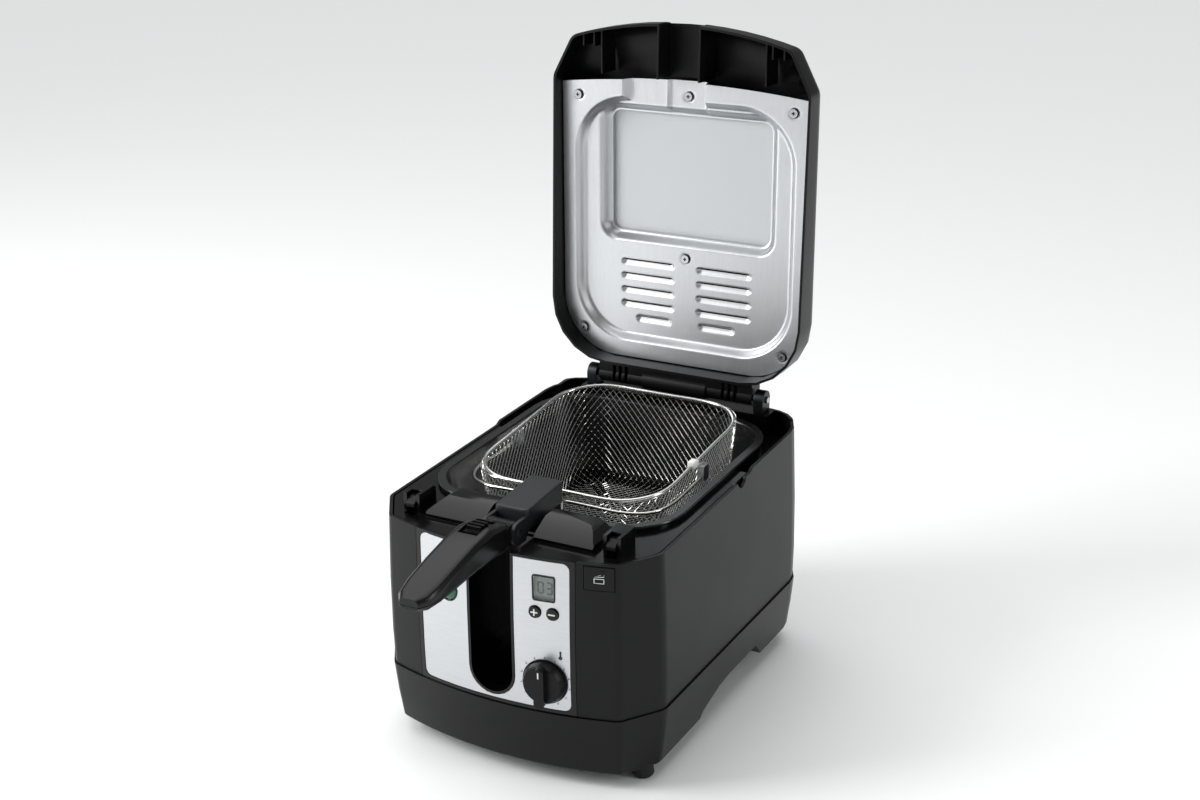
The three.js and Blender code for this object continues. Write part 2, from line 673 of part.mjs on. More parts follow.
// ---- Deck ---------------------------------------------------------------------------------------
const DECK = { thick: 2.5, surface: -2, rearSurface: -15 };
const bowlHole = roundedBox([-bowl.halfWidth, bowl.halfWidth], [bowl.front, bowl.rear], bowlCornerR);
const hingeBase = { half: 100, front: hingeY - 11, rear: hingeY + 8, top: hingeZ - 12.2 };
const bracketX = [carrierHalfWidth + 2.6, carrierHalfWidth + 12.6];
{
  const plan = inset(bodyPlan, 3.2 + housingWall + CLEARANCE);
  const front = box([-400, 400], [-400, wallTop.stepY], [-40, 40]);
  const rear = box([-400, 400], [wallTop.stepY - DECK.thick, 400], [-40, 40]);
  const frontPlate = prismZ(plan, [DECK.surface - DECK.thick, DECK.surface]).intersect(front);
  const rearPlate = prismZ(plan, [DECK.rearSurface - DECK.thick, DECK.rearSurface]).intersect(rear);
  const web = prismZ(plan, [DECK.rearSurface - DECK.thick, DECK.surface]).intersect(
    box([-400, 400], [wallTop.stepY - DECK.thick, wallTop.stepY], [-40, 40]),
  );
  const seat = prismZ(inset(bowlHole, -CLEARANCE + 1), [DECK.rearSurface - DECK.thick, -0.1]);
  const hole = prismZ(inset(bowlHole, 3.4), [-60, 60]);
  const pads = [-1, 1].map((sign) => {
    const x = [25, 80].map((edge) => edge * sign).sort((a, b) => a - b);
    const pad = prismX(
      [
        [frontY + 31, DECK.surface - 1],
        [frontY + 31, 1],
        [frontY + 36, 5],
        [frontY + 51, 11.5],
        [frontY + 66, 11.5],
        [frontY + 66, DECK.surface - 1],
      ],
      x,
    );
    const bevel = prismY(
      [
        [sign * 64, 14],
        [sign * 86, 14],
        [sign * 86, 2],
        [sign * 81, 2],
        [sign * 74, 8],
      ],
      [frontY + 20, frontY + 80],
    );
    return cut(pad, bevel);
  });
  const boxes = [-1, 1].map((sign) => {
    const x = latch.boxX.map((edge) => edge * sign).sort((a, b) => a - b);
    const slotX = latch.catchX.map((edge) => edge * sign).sort((a, b) => a - b);
    const slot = [slotX[0] - 0.6, slotX[1] + 0.6];
    return {
      housing: box(x, latch.boxY, [DECK.surface - 1, latch.boxTop]),
      slot: box(slot, [latch.boxY[0] - 5, latch.boxY[1] - 2.5], [DECK.surface - 10, 12.5]),
      top: box(slot, [latch.boxY[0] - 5, latch.boxY[0] + 9], [5, 20]),
    };
  });
  const wellSlot = box(
    [-wellHalfWidth - wellWall - CLEARANCE, wellHalfWidth + wellWall + CLEARANCE],
    [-400, wellBackY + wellWall + CLEARANCE],
    [-20, 20],
  );
  const level = cut(
    join(frontPlate, rearPlate, web, seat, ...pads, ...boxes.map((b) => b.housing)),
    hole,
    ...boxes.flatMap((b) => [b.slot, b.top]),
    wellSlot,
  );
  const sloped = cut(transformed(level, deckShear), buttonWay(3 + lidButtonTravel + RUNNING));
  const base = box(
    [-hingeBase.half, hingeBase.half],
    [hingeBase.front, hingeBase.rear],
    [deckAt(hingeY) + DECK.rearSurface - 1, hingeBase.top],
  ).intersect(prismZ(plan, [0, 400]));
  add("top_deck", join(sloped, base), glossBlack);
}

// ---- Bowl and what heats it ---------------------------------------------------------------------
const bowlRim = (t, lift) => at(inset(bowlHole, t, 7), (y) => deckAt(y) + lift);
{
  const outside = bowlRimWidth - bowlWall;
  const rim = loft([bowlRim(0, 0.3), bowlRim(-0.6, 1.6), bowlRim(0, 3)]);
  const floor = (t, z) => at(inset(bowlHole, t, 7), z);
  const tub = loft([
    floor(outside + bowlTaper + 10, bowlFloorZ - bowlWall),
    floor(outside + bowlTaper + 3, bowlFloorZ + 1),
    floor(outside + bowlTaper, bowlFloorZ + 10),
    bowlRim(outside, 0.5),
  ]);
  const inside = loft([
    floor(bowlRimWidth + bowlTaper + 10, bowlFloorZ),
    floor(bowlRimWidth + bowlTaper + 3, bowlFloorZ + 3),
    floor(bowlRimWidth + bowlTaper, bowlFloorZ + 11),
    bowlRim(bowlRimWidth, 1.2),
    bowlRim(bowlRimWidth - 2, 4),
  ]);
  add("oil_bowl", cut(join(rim, tub), inside), enamel);

  const shieldFloorZ = bowlFloorZ - 14;
  const shieldTop = deckAt(bowl.front) - 70;
  const shieldPlan = inset(bowlHole, bowlRimWidth - 5, 4);
  const shieldInner = inset(bowlHole, bowlRimWidth - 3.8, 4);
  const shield = cut(
    prismZ(shieldPlan, [shieldFloorZ, shieldTop]),
    prismZ(shieldInner, [shieldFloorZ + 1.2, shieldTop + 1]),
  );
  add("heat_shield", shield, satinAluminium);

  const elementZ = bowlFloorZ - bowlWall - 5.5;
  const span = bowl.halfWidth - 50;
  const reachFront = bowl.front + 45;
  const reachRear = bowl.rear - 45;
  const route = [
    [-16, reachFront, elementZ],
    [-span + 14, reachFront, elementZ],
    [-span, reachFront + 18, elementZ],
    [-span, reachRear - 18, elementZ],
    [-span + 18, reachRear, elementZ],
    [span - 18, reachRear, elementZ],
    [span, reachRear - 18, elementZ],
    [span, reachFront + 18, elementZ],
    [span - 14, reachFront, elementZ],
    [16, reachFront, elementZ],
  ];
  add("heating_element", wire(route, 3.4, { steps: 48 }), brushedSteel);
  const cutoutY = (bowl.front + bowl.rear) / 2;
  const cutout = join(
    rod(9, [0, cutoutY, shieldFloorZ - 7], [0, cutoutY, shieldFloorZ - CLEARANCE]),
    box([-15, 15], [cutoutY - 3, cutoutY + 3], [shieldFloorZ - 2, shieldFloorZ - CLEARANCE]),
  );
  add("thermal_cutout", cutout, phenolic);
}

// ---- Basket -------------------------------------------------------------------------------------
const rimZ = (y) => basketRimZ + basketSlope * (y - basket.front);
const basketPlan = roundedBox(
  [-basket.halfWidth, basket.halfWidth],
  [basket.front, basket.rear],
  basketCornerR,
);
{
  const rimLine = at(inset(basketPlan, 0, 6), rimZ);
  const spread = [];
  rimLine.forEach((point, i) => {
    const next = rimLine[(i + 1) % rimLine.length];
    const length = Math.hypot(next[0] - point[0], next[1] - point[1]);
    const pieces = Math.max(1, Math.round(length / 30));
    for (let k = 0; k < pieces; k++)
      spread.push(point.map((value, axis) => value + ((next[axis] - value) * k) / pieces));
  });
  add("basket_rim", wire(spread, rimWireRadius, { closed: true, steps: 96 }), chromeWire);
  const ring = (t, drop) => at(inset(basketPlan, t, 6), (y) => rimZ(y) - drop);
  const top = rimWireRadius + CLEARANCE;
  const outside = loft([
    ring(basketTaper + 8, basketDepth),
    ring(basketTaper, basketDepth - 9),
    ring(0.6, top),
  ]);
  const inside = loft([
    ring(basketTaper + 8 + basketWall, basketDepth - basketWall),
    ring(basketTaper + basketWall, basketDepth - 9 - basketWall),
    ring(0.6 + basketWall, 0),
  ]);
  add("basket_mesh", cut(outside, inside), chromeWire);

  const slider = join(
    box([-12, 12], [hubBackY + RUNNING, hubBackY + 4.5], [pivotZ - 24, rimZ(basket.front) - 4]),
    box([-7, 7], [hubBackY + RUNNING, basket.front - 0.2], [rimZ(basket.front) - 8, rimZ(basket.front) - 4]),
  );
  add("basket_slider", slider, brushedSteel);
  const clipY = basket.front + 92;
  for (const [side, sign] of [["left", -1], ["right", 1]]) {
    const x = sign * (basket.halfWidth + 5);
    const line = [
      [x, clipY - 3, rimZ(clipY) - 14],
      [x, clipY - 30, rimZ(clipY - 30) - 13],
      [x, basket.front + 28, rimZ(basket.front + 28) - 10],
      [x - sign * 9, basket.front + 8, rimZ(basket.front) - 8],
      [x - sign * 30, basket.front - 4, rimZ(basket.front) - 7],
      [x - sign * 55, basket.front - 5, rimZ(basket.front) - 6.5],
      [sign * 13.8, basket.front - 5, rimZ(basket.front) - 6.5],
    ];
    add(`yoke_wire_${side}`, wire(line, yokeWireRadius, { steps: 26 }), chromeWire);
    const clipX = [0.4, 7.4].map((edge) => sign * (basket.halfWidth + edge)).sort((a, b) => a - b);
    const clip = box(clipX, [clipY - 2, clipY + 8], [rimZ(clipY) - 18, rimZ(clipY) - 3.4]);
    add(`yoke_clip_${side}`, clip, brushedSteel);
  }
}

// ---- Hub, handle and their pin ------------------------------------------------------------------
{
  const plan = roundedBox([-hubHalfWidth, hubHalfWidth], [hubFrontY, hubBackY], 4);
  const topZ = (y) => hubTopZ + hubTopSlope * (y - hubFrontY);
  const bottomZ = (y) => deckAt(y) + 0.6;
  const block = loft([
    at(inset(plan, 0), bottomZ),
    at(inset(plan, 0), (y) => topZ(y) - 2.5),
    at(inset(plan, 0.8), (y) => topZ(y) - 0.7),
    at(inset(plan, 2.6), topZ),
  ]);
  const earOutline = [];
  for (let i = 0; i <= 14; i++) {
    const angle = Math.PI / 2 + (Math.PI * i) / 14;
    earOutline.push([pivotY + 10 * Math.cos(angle), pivotZ + 10 * Math.sin(angle)]);
  }
  earOutline.push([hubFrontY - 3, pivotZ - 10], [hubFrontY + 3, pivotZ - 1], [hubFrontY + 3, pivotZ + 10]);
  const ears = [[-hubHalfWidth, -12.9], [12.9, hubHalfWidth]].map((x) => prismX(earOutline, x));
  const pinHole = rod(pivotPinRadius + 0.3, [-30, pivotY, pivotZ], [30, pivotY, pivotZ]);
  const rimWay = prismX(
    [
      [bowl.front - 1.2, 150],
      [hubBackY + 5, 150],
      [hubBackY + 5, deckAt(hubBackY + 5) + 3 + CLEARANCE],
      [bowl.front - 1.2, deckAt(bowl.front) + 3 + CLEARANCE],
    ],
    [-30, 30],
  );
  add("handle_hub", cut(join(block, ...ears), pinHole, rimWay), charcoal);
  const pinReach = hubHalfWidth - 0.5;
  const pin = rod(pivotPinRadius, [-pinReach, pivotY, pivotZ], [pinReach, pivotY, pivotZ]);
  add("handle_pivot_pin", pin, brushedSteel);
}
{
  // Reach from the pivot, height of the top and of the underside above the pivot, half width.
  const sections = [
    [11.5, 13, -10, 14.5],
    [22, 17.5, -9, 16.4],
    [40, 19.5, -8, handleHalfWidth],
    [62, 16.5, -8.5, handleHalfWidth],
    [86, 11, -10, handleHalfWidth],
    [112, 4, -12, 16.6],
    [handleLength - 8, 0, -13, 14.4],
    [handleLength, -2, -11.5, 8.5],
  ];
  const ring = ([reach, top, bottom, half]) => {
    const round = Math.min(6, (top - bottom) * 0.42);
    const outline = rectangle([-half, half], [pivotZ + bottom, pivotZ + top], round);
    return outline.map(([x, z]) => [x, pivotY - reach, z]);
  };
  const grip = loft(sections.map(ring));
  const tongue = join(
    rod(handleKnuckleR, [-12.4, pivotY, pivotZ], [12.4, pivotY, pivotZ]),
    box([-12.4, 12.4], [pivotY - 14, pivotY], [pivotZ - 8, pivotZ + 9.5]),
  );
  const pinHole = rod(pivotPinRadius + RUNNING, [-30, pivotY, pivotZ], [30, pivotY, pivotZ]);
  const whole = cut(join(grip, tongue), pinHole);
  const partingZ = (lift) => [
    [pivotY + 20, pivotZ - 4 + lift],
    [pivotY - 20, pivotZ - 4 + lift],
    [pivotY - 40, pivotZ - 2 + lift],
    [pivotY - 70, pivotZ - 3 + lift],
    [pivotY - handleLength - 10, pivotZ - 9 + lift],
  ];
  const upperHalf = prismX([...partingZ(0), [pivotY - 200, 300], [pivotY + 20, 300]], [-40, 40]);
  const lowerHalf = prismX([...partingZ(-CLEARANCE), [pivotY - 200, 100], [pivotY + 20, 100]], [-40, 40]);
  const slideY = [pivotY - 46, pivotY - 26];
  const pocket = box(
    [-9, 9],
    [slideY[0] - 5, slideY[1] + handleButtonTravel + RUNNING],
    [pivotZ + 12.5, 300],
  );
  const knuckleKeep = box([-40, 40], [pivotY - 17, pivotY + 30], [0, 300]);
  const knuckleRoom = box([-40, 40], [pivotY - 17.4, pivotY + 30], [0, 300]);
  add("handle_grip", cut(whole.intersect(join(upperHalf, knuckleKeep)), pocket), satinBlack);
  add("handle_underside", cut(whole.intersect(lowerHalf), knuckleRoom), satinBlack);
  const ridges = [4, 9, 14].map((from) =>
    box([-6.5, 6.5], [slideY[0] + from, slideY[0] + from + 2], [pivotZ + 15, pivotZ + 20.5]),
  );
  add("handle_button", join(box([-7.6, 7.6], slideY, [pivotZ + 13, pivotZ + 17]), ...ridges), satinBlack);
}

// ---- Hinge --------------------------------------------------------------------------------------
{
  for (const [side, sign] of [["left", -1], ["right", 1]]) {
    const x = bracketX.map((edge) => edge * sign).sort((a, b) => a - b);
    const cheek = join(
      rod(9, [x[0], hingeY, hingeZ], [x[1], hingeY, hingeZ]),
      box(x, [hingeY - 9, hingeY + 8], [hingeBase.top + CLEARANCE, hingeZ]),
    );
    const hole = rod(hingePinRadius + 0.3, [x[0] - 5, hingeY, hingeZ], [x[1] + 5, hingeY, hingeZ]);
    add(`hinge_bracket_${side}`, cut(cheek, hole), brushedSteel);
    const pinX = [carrierHalfWidth - 12, bracketX[1] + 2].map((edge) => edge * sign);
    const pin = rod(hingePinRadius, [pinX[0], hingeY, hingeZ], [pinX[1], hingeY, hingeZ]);
    add(`hinge_pin_${side}`, pin, chromeWire);
  }
  const turns = 6;
  const coilSteps = 12 * turns;
  const coil = Array.from({ length: coilSteps + 1 }, (_, i) => {
    const angle = (2 * Math.PI * i) / 12;
    const x = springHalfLength * ((2 * i) / coilSteps - 1);
    return [x, hingeY + springRadius * Math.cos(angle), hingeZ + springRadius * Math.sin(angle)];
  });
  add("lid_spring", wire(coil, springWireRadius, { sides: 6, steps: coilSteps }), brushedSteel);
}

// ---- Lid, built level with its hinge line at the origin -----------------------------------------
const lid = new THREE.Group();
const lidHalf = halfWidth - lidOverhangX;
const lidPlan = fryerPlan({
  half: lidHalf,
  cornerY: -(lidLength - frontCornerBack - 2),
  column: columnX + 0.5,
  columnY: -(lidLength - frontBow + 1),
  apexY: -lidLength,
  rear: -lidRearGap,
  rearR: lidRearR,
  cornerR: 16,
  columnR: 14,
});
const skirtZ = (y) => -14.3 - 0.0334 * y;
// The lid's outer surface: how far in from the plan, how high, and how much a wall adds downwards.
const LID_SECTION = [
  [0, -30, 0.4],
  [0, 13, 0.3],
  [1.2, 20, 0.5],
  [5, 27, 0.8],
  [11, 31.5, 1],
  [20, 34.5, 1],
  [31, lidHeight, 1],
];
const lidForm = (depth) =>
  loft(LID_SECTION.map(([t, z, drop]) => at(inset(lidPlan, t + depth), z - drop * depth)));
const panelFrontS = lidLength - 57;
{
  const outside = lidForm(0);
  const inside = lidForm(lidWall);
  const wide = [-halfWidth - 5, halfWidth + 5];
  const below = prismX(
    [
      [-lidLength - 20, skirtZ(-lidLength - 20)],
      [10, skirtZ(10)],
      [10, -60],
      [-lidLength - 20, -60],
    ],
    wide,
  );
  const bandBack = -(panelFrontS + 6);
  const frontBand = (x, z) => box(x, [-lidLength + 1, bandBack], z);
  const ribs = [-1, 1].flatMap((sign) => {
    const place = (centre, thick) => [sign * centre - thick / 2, sign * centre + thick / 2];
    return [
      frontBand(place(notchHalfWidth + 1, 2), [-20, 30]),
      frontBand(place(windowHalfWidth + 0.5, 1.6), [4, 30]),
    ];
  });
  const ceiling = frontBand([-notchHalfWidth - 1, notchHalfWidth + 1], [21.5, 23.5]);
  const keepers = [-1, 1].flatMap((sign) =>
    [latch.catchX[0] - 1.4, latch.catchX[1] + 1.4].map((centre) =>
      box([sign * centre - 0.8, sign * centre + 0.8], [-lidLength + 4, -lidLength + 26], [2, 30]),
    ),
  );
  const bosses = lidScrews().map(({ x, y, seat }) =>
    rod(4.6, [x, y, seat + panelThickness + CLEARANCE], [x, y, lidHeight], 12),
  );
  const holes = lidScrews().map(({ x, y, seat }) => rod(2.1, [x, y, seat], [x, y, seat + 8.5], 12));
  const walls = join(...ribs, ceiling, ...keepers, ...bosses).intersect(lidForm(lidWall / 2));
  const windowHole = prismZ(inset(windowPlan(-3), 0, 4), [10, 60]);
  const ventHole = prismZ(inset(ventPlan(0), 0, 4), [10, 60]);
  const notch = box([-notchHalfWidth, notchHalfWidth], [-lidLength - 5, -lidLength + 5], [-40, 21.5]);
  const shell = join(cut(outside, inside), walls);
  add("lid_shell", cut(shell, below, notch, windowHole, ventHole, ...holes), satinBlack, lid);
}

function windowPlan(t) {
  const half = windowHalfWidth + t;
  return roundedBox([-half, half], [-windowTo - t, -windowFrom + t], 9 + Math.max(t, -3));
}
function ventPlan(t) {
  return roundedBox([-52 - t, 52 + t], [-104 - t, -54 + t], 6);
}
function lidScrews() {
  const deep = flangeZ + panelRecess;
  return [
    { x: -110.4, y: -271.3, seat: flangeZ },
    { x: 110.4, y: -271.3, seat: flangeZ },
    { x: 0, y: -275.9, seat: flangeZ + channelRecess },
    { x: 0, y: -121.8, seat: deep },
    { x: -106, y: -42, seat: flangeZ },
    { x: 106, y: -42, seat: flangeZ },
  ];
}
{
  const edge = lidWall + panelGap;
  const frontCut = prismZ(
    inset(
      fryerPlan({
        half: lidHalf + 20,
        cornerY: -panelFrontS + 5,
        column: lidHalf + 10,
        columnY: -panelFrontS + 6,
        apexY: -panelFrontS - 3.5,
        rear: 30,
        rearR: 1,
        cornerR: 1,
        columnR: 1,
      }),
      0,
      1,
    ),
    [-40, 60],
  );
  const plate = prismZ(inset(lidPlan, edge), [flangeZ, flangeZ + panelThickness]).intersect(frontCut);
  const recessPlan = roundedBox([-lidHalf + 17, lidHalf - 17], [-panelFrontS + 13, -34], 55);
  const dish = (plan, grow, depth, lean) =>
    loft([at(inset(plan, -grow), flangeZ - 1 + grow), at(inset(plan, lean - grow), flangeZ + depth + grow)]);
  const inner = windowPlan(9);
  const channel = (grow, depth) =>
    box([-notchHalfWidth - grow, notchHalfWidth + grow], [-panelFrontS - 10, -windowTo + 5], [
      flangeZ - 1 + grow,
      flangeZ + depth + grow,
    ]);
  const positive = join(
    plate,
    dish(recessPlan, panelThickness, panelRecess, 7),
    dish(inner, panelThickness, windowRecess, 7),
    channel(panelThickness, channelRecess).intersect(frontCut),
  );
  const negative = [
    dish(recessPlan, 0, panelRecess, 7),
    dish(inner, 0, windowRecess, 7),
    channel(0, channelRecess),
    prismZ(inset(windowPlan(0), 0, 4), [0, 60]),
  ];
  const louvers = [-1, 1].flatMap((sign) =>
    Array.from({ length: 5 }, (_, row) => {
      const x = (row < 4 ? [12.5, 68] : [15, 52]).map((end) => sign * end).sort((a, b) => a - b);
      const y = -112 + louverPitch * row;
      return box([x[0], x[1]], [y - 2.2, y + 2.2], [0, 40]);
    }),
  );
  const screwHoles = lidScrews().map(({ x, y }) => rod(2.3, [x, y, 0], [x, y, 40], 12));
  add("lid_inner_panel", cut(positive, ...negative, ...louvers, ...screwHoles), satinAluminium, lid);

  lidScrews().forEach(({ x, y, seat }, i) => {
    const head = rod(lidScrewRadius, [x, y, seat - 1.8], [x, y, seat - 0.3], 16);
    const shank = rod(1.8, [x, y, seat - 0.3], [x, y, seat + 7.5], 12);
    add(`lid_screw_${i + 1}`, join(head, shank), brushedSteel, lid);
  });
}
{
  const sealZ = flangeZ + windowRecess + panelThickness + CLEARANCE;
  const sealThick = 1.5;
  const glassZ = sealZ + sealThick + CLEARANCE;
  const edge = inset(windowPlan(3), 0, 4);
  const opening = prismZ(inset(windowPlan(0), 0, 4), [0, 60]);
  add("window_seal", cut(prismZ(edge, [sealZ, sealZ + sealThick]), opening), rubber, lid);
  add("window_glass", prismZ(edge, [glassZ, glassZ + glassThickness]), clearGlass, lid);
  const filterZ = flangeZ + panelRecess + panelThickness + 1.5;
  const felt = prismZ(rectangle([-73, 73], [-112, -46], 6), [filterZ, filterZ + 9]);
  add("grease_filter", felt, charcoal, lid);
  const neck = prismZ(inset(ventPlan(-CLEARANCE), 0, 4), [lidHeight - 6, lidHeight + 1]);
  const plate = prismZ(inset(ventPlan(4), 0, 4), [lidHeight + 0.4, lidHeight + 2.4]);
  const hollow = prismZ(inset(ventPlan(-CLEARANCE - 2), 0, 4), [lidHeight - 10, lidHeight - 0.5]);
  const slots = Array.from({ length: 6 }, (_, row) => {
    const y = -98 + 7.6 * row;
    return box([-44, 44], [y - 1.5, y + 1.5], [0, 60]);
  });
  add("filter_cover", cut(join(neck, plate), hollow, ...slots), glossBlack, lid);
}
{
  const arm = box([-carrierHalfWidth, carrierHalfWidth], [-lidRearGap + CLEARANCE, 0], [-6, 13]);
  const barrel = rod(hingeBarrelR, [-carrierHalfWidth, 0, 0], [carrierHalfWidth, 0, 0]);
  const pinHoles = [-1, 1].map((sign) => {
    const ends = [carrierHalfWidth - 13, carrierHalfWidth + 5].map((x) => [sign * x, 0, 0]);
    return rod(hingePinRadius + RUNNING, ...ends);
  });
  const housing = rod(springHousingR, [-springHousingHalf, 0, 0], [springHousingHalf, 0, 0]);
  const pocketHalf = springHalfLength + 4;
  const pocketR = springRadius + springWireRadius + CLEARANCE;
  const springPocket = join(
    rod(pocketR, [-pocketHalf, 0, 0], [pocketHalf, 0, 0]),
    box([-pocketHalf, pocketHalf], [0, 20], [-4, 4]),
  );
  const ribGaps = [-1, 1].flatMap((sign) =>
    [52, 58.5, 65].map((x) => box([sign * x - 1.6, sign * x + 1.6], [-11.5, 20], [-20, -hingeBarrelR + 5])),
  );
  const carrier = cut(join(arm, barrel, housing), ...pinHoles, springPocket, ...ribGaps);
  add("lid_hinge_carrier", carrier, satinBlack, lid);
}
lid.position.set(0, hingeY, hingeZ);
lid.rotation.x = THREE.MathUtils.degToRad(-lidOpenAngle);
parts.add(lid);

// The frame's origin is under the middle of the whole object, on the surface that it stands on.
parts.updateMatrixWorld(true);
const bounds = new THREE.Box3().setFromObject(parts, true);
parts.position.set(-(bounds.min.x + bounds.max.x) / 2, -(bounds.min.y + bounds.max.y) / 2, -bounds.min.z);

export default parts;
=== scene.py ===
# %% [markdown]
# # A deep fryer, from its frame to its finish
# The fryer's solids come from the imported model: one object for each moulded, pressed or turned piece.
# This lesson gives them soft edges and real finishes, weaves the wire basket, prints the symbols on the
# front, and sets up a plain studio.

# %% Load the frame
import json
import math

import bmesh
import bpy
from mathutils import Matrix, Vector


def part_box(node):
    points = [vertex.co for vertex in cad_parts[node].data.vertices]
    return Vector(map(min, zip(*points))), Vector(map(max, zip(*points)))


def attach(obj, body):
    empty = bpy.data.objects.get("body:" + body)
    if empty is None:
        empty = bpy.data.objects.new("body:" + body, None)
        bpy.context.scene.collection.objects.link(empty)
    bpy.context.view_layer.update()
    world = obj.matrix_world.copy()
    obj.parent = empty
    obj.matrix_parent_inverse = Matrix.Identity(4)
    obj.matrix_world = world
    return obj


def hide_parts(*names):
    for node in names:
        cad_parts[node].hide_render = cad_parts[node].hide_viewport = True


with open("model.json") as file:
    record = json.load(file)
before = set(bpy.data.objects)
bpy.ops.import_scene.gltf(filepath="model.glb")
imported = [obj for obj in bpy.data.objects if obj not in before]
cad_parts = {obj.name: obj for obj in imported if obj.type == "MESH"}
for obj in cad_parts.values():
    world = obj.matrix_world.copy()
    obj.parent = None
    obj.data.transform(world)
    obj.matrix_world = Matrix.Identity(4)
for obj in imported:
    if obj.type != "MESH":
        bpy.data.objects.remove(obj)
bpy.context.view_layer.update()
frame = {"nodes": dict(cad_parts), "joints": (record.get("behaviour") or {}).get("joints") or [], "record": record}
NODES = frame["nodes"]
MM = 0.001
print("nodes", len(NODES))

# %% [markdown]
# ## The camera
# The camera stands to the front right, a little above the fryer, and looks down at it. A long lens keeps
# the verticals nearly parallel. The small shift keeps the fryer where it stands in the frame.

# %% Camera
LOOK_AT = Vector((0, 0.18312, 0.24349))
AZIMUTH = math.radians(26.75)
ELEVATION = math.radians(19.73)
DISTANCE = 1.61794
IMAGE_WIDTH, IMAGE_HEIGHT = 1200, 800
FOCAL_LENGTH = 1692.1
VIEW_CENTRE = (666.4, 386.35)

away = Vector(
    (
        math.sin(AZIMUTH) * math.cos(ELEVATION),
        -math.cos(AZIMUTH) * math.cos(ELEVATION),
        math.sin(ELEVATION),
    )
)
bpy.ops.object.camera_add(location=LOOK_AT + away * DISTANCE)
camera = bpy.context.object
camera.rotation_euler = away.to_track_quat("Z", "Y").to_euler()
camera.data.sensor_width = 36
camera.data.lens = FOCAL_LENGTH / IMAGE_WIDTH * camera.data.sensor_width
camera.data.shift_x = (IMAGE_WIDTH / 2 - VIEW_CENTRE[0]) / IMAGE_WIDTH
camera.data.shift_y = (VIEW_CENTRE[1] - IMAGE_HEIGHT / 2) / IMAGE_WIDTH
bpy.context.scene.camera = camera
print("camera", tuple(round(v, 3) for v in camera.location))

# %% [markdown]
# ## Small tools
# Everything is picked in code, so the first tool clears the selection. The second adds one shader node
# with its settings and links. Colours are given as sRGB hex values and turned linear in one place.


# %% Helpers
def only(*objects):
    if bpy.context.object and bpy.context.object.mode != "OBJECT":
        bpy.ops.object.mode_set(mode="OBJECT")
    bpy.ops.object.select_all(action="DESELECT")
    for obj in objects:
        obj.select_set(True)
    bpy.context.view_layer.objects.active = objects[0] if objects else None


def colour(hex_value):
    channels = [int(hex_value[i : i + 2], 16) / 255 for i in (1, 3, 5)]
    linear = [c / 12.92 if c <= 0.04045 else ((c + 0.055) / 1.055) ** 2.4 for c in channels]
    return (*linear, 1.0)


def add_node(material, kind, inputs=None, **settings):
    made = material.node_tree.nodes.new(kind)
    for name, value in settings.items():
        setattr(made, name, value)
    for name, value in (inputs or {}).items():
        if isinstance(value, bpy.types.NodeSocket):
            material.node_tree.links.new(value, made.inputs[name])
        else:
            made.inputs[name].default_value = value
    return made


def start_material(name, base, roughness, metallic=0.0, ior=1.5):
    material = bpy.data.materials.new(name)
    material.use_nodes = True
    shader = material.node_tree.nodes["Principled BSDF"]
    shader.inputs["Base Color"].default_value = colour(base)
    shader.inputs["Roughness"].default_value = roughness
    shader.inputs["Metallic"].default_value = metallic
    if not metallic:
        shader.inputs["IOR"].default_value = ior
    place = add_node(material, "ShaderNodeTexCoord").outputs["Object"]
    return material, shader, place


# %% [markdown]
# ## Moulded plastics
# The housing is ABS from a spark-eroded mould. The spark leaves a fine pebble on the tool, about 0.8 mm
# here so that it can be seen, which breaks up the highlight. Polished parts of the tool give the deck and
# the fascia their gloss, with the slow waves that thick plastic shows as it shrinks. The shine is set a
# little below that of bare plastic, because fine dulling takes the edge off a black moulding.


# %% Plastics
def moulded(name, base, lighter, roughness, grain_mm, bump, gloss_waves=0.0, shine=0.5):
    material, shader, place = start_material(name, base, roughness)
    shader.inputs["Specular IOR Level"].default_value = shine
    links = material.node_tree.links
    grain = add_node(
        material,
        "ShaderNodeTexNoise",
        {"Vector": place, "Scale": 1 / (grain_mm * MM), "Detail": 2.0, "Roughness": 0.6},
    )
    patches = add_node(material, "ShaderNodeTexNoise", {"Vector": place, "Scale": 16.0, "Detail": 3.0})
    tint = add_node(
        material,
        "ShaderNodeMix",
        {"Factor": patches.outputs["Fac"], 6: colour(base), 7: colour(lighter)},
        data_type="RGBA",
    )
    links.new(tint.outputs[2], shader.inputs["Base Color"])
    spread = add_node(
        material,
        "ShaderNodeMapRange",
        {"Value": patches.outputs["Fac"], "To Min": roughness * 0.88, "To Max": roughness * 1.14},
    )
    links.new(spread.outputs["Result"], shader.inputs["Roughness"])
    height = grain.outputs["Fac"]
    if gloss_waves:
        waves = add_node(material, "ShaderNodeTexNoise", {"Vector": place, "Scale": 40.0, "Detail": 1.0})
        both = add_node(
            material,
            "ShaderNodeMath",
            {0: waves.outputs["Fac"], 1: gloss_waves, 2: height},
            operation="MULTIPLY_ADD",
        )
        height = both.outputs["Value"]
    relief = add_node(material, "ShaderNodeBump", {"Height": height, "Strength": bump, "Distance": 0.0003})
    links.new(relief.outputs["Normal"], shader.inputs["Normal"])
    return material


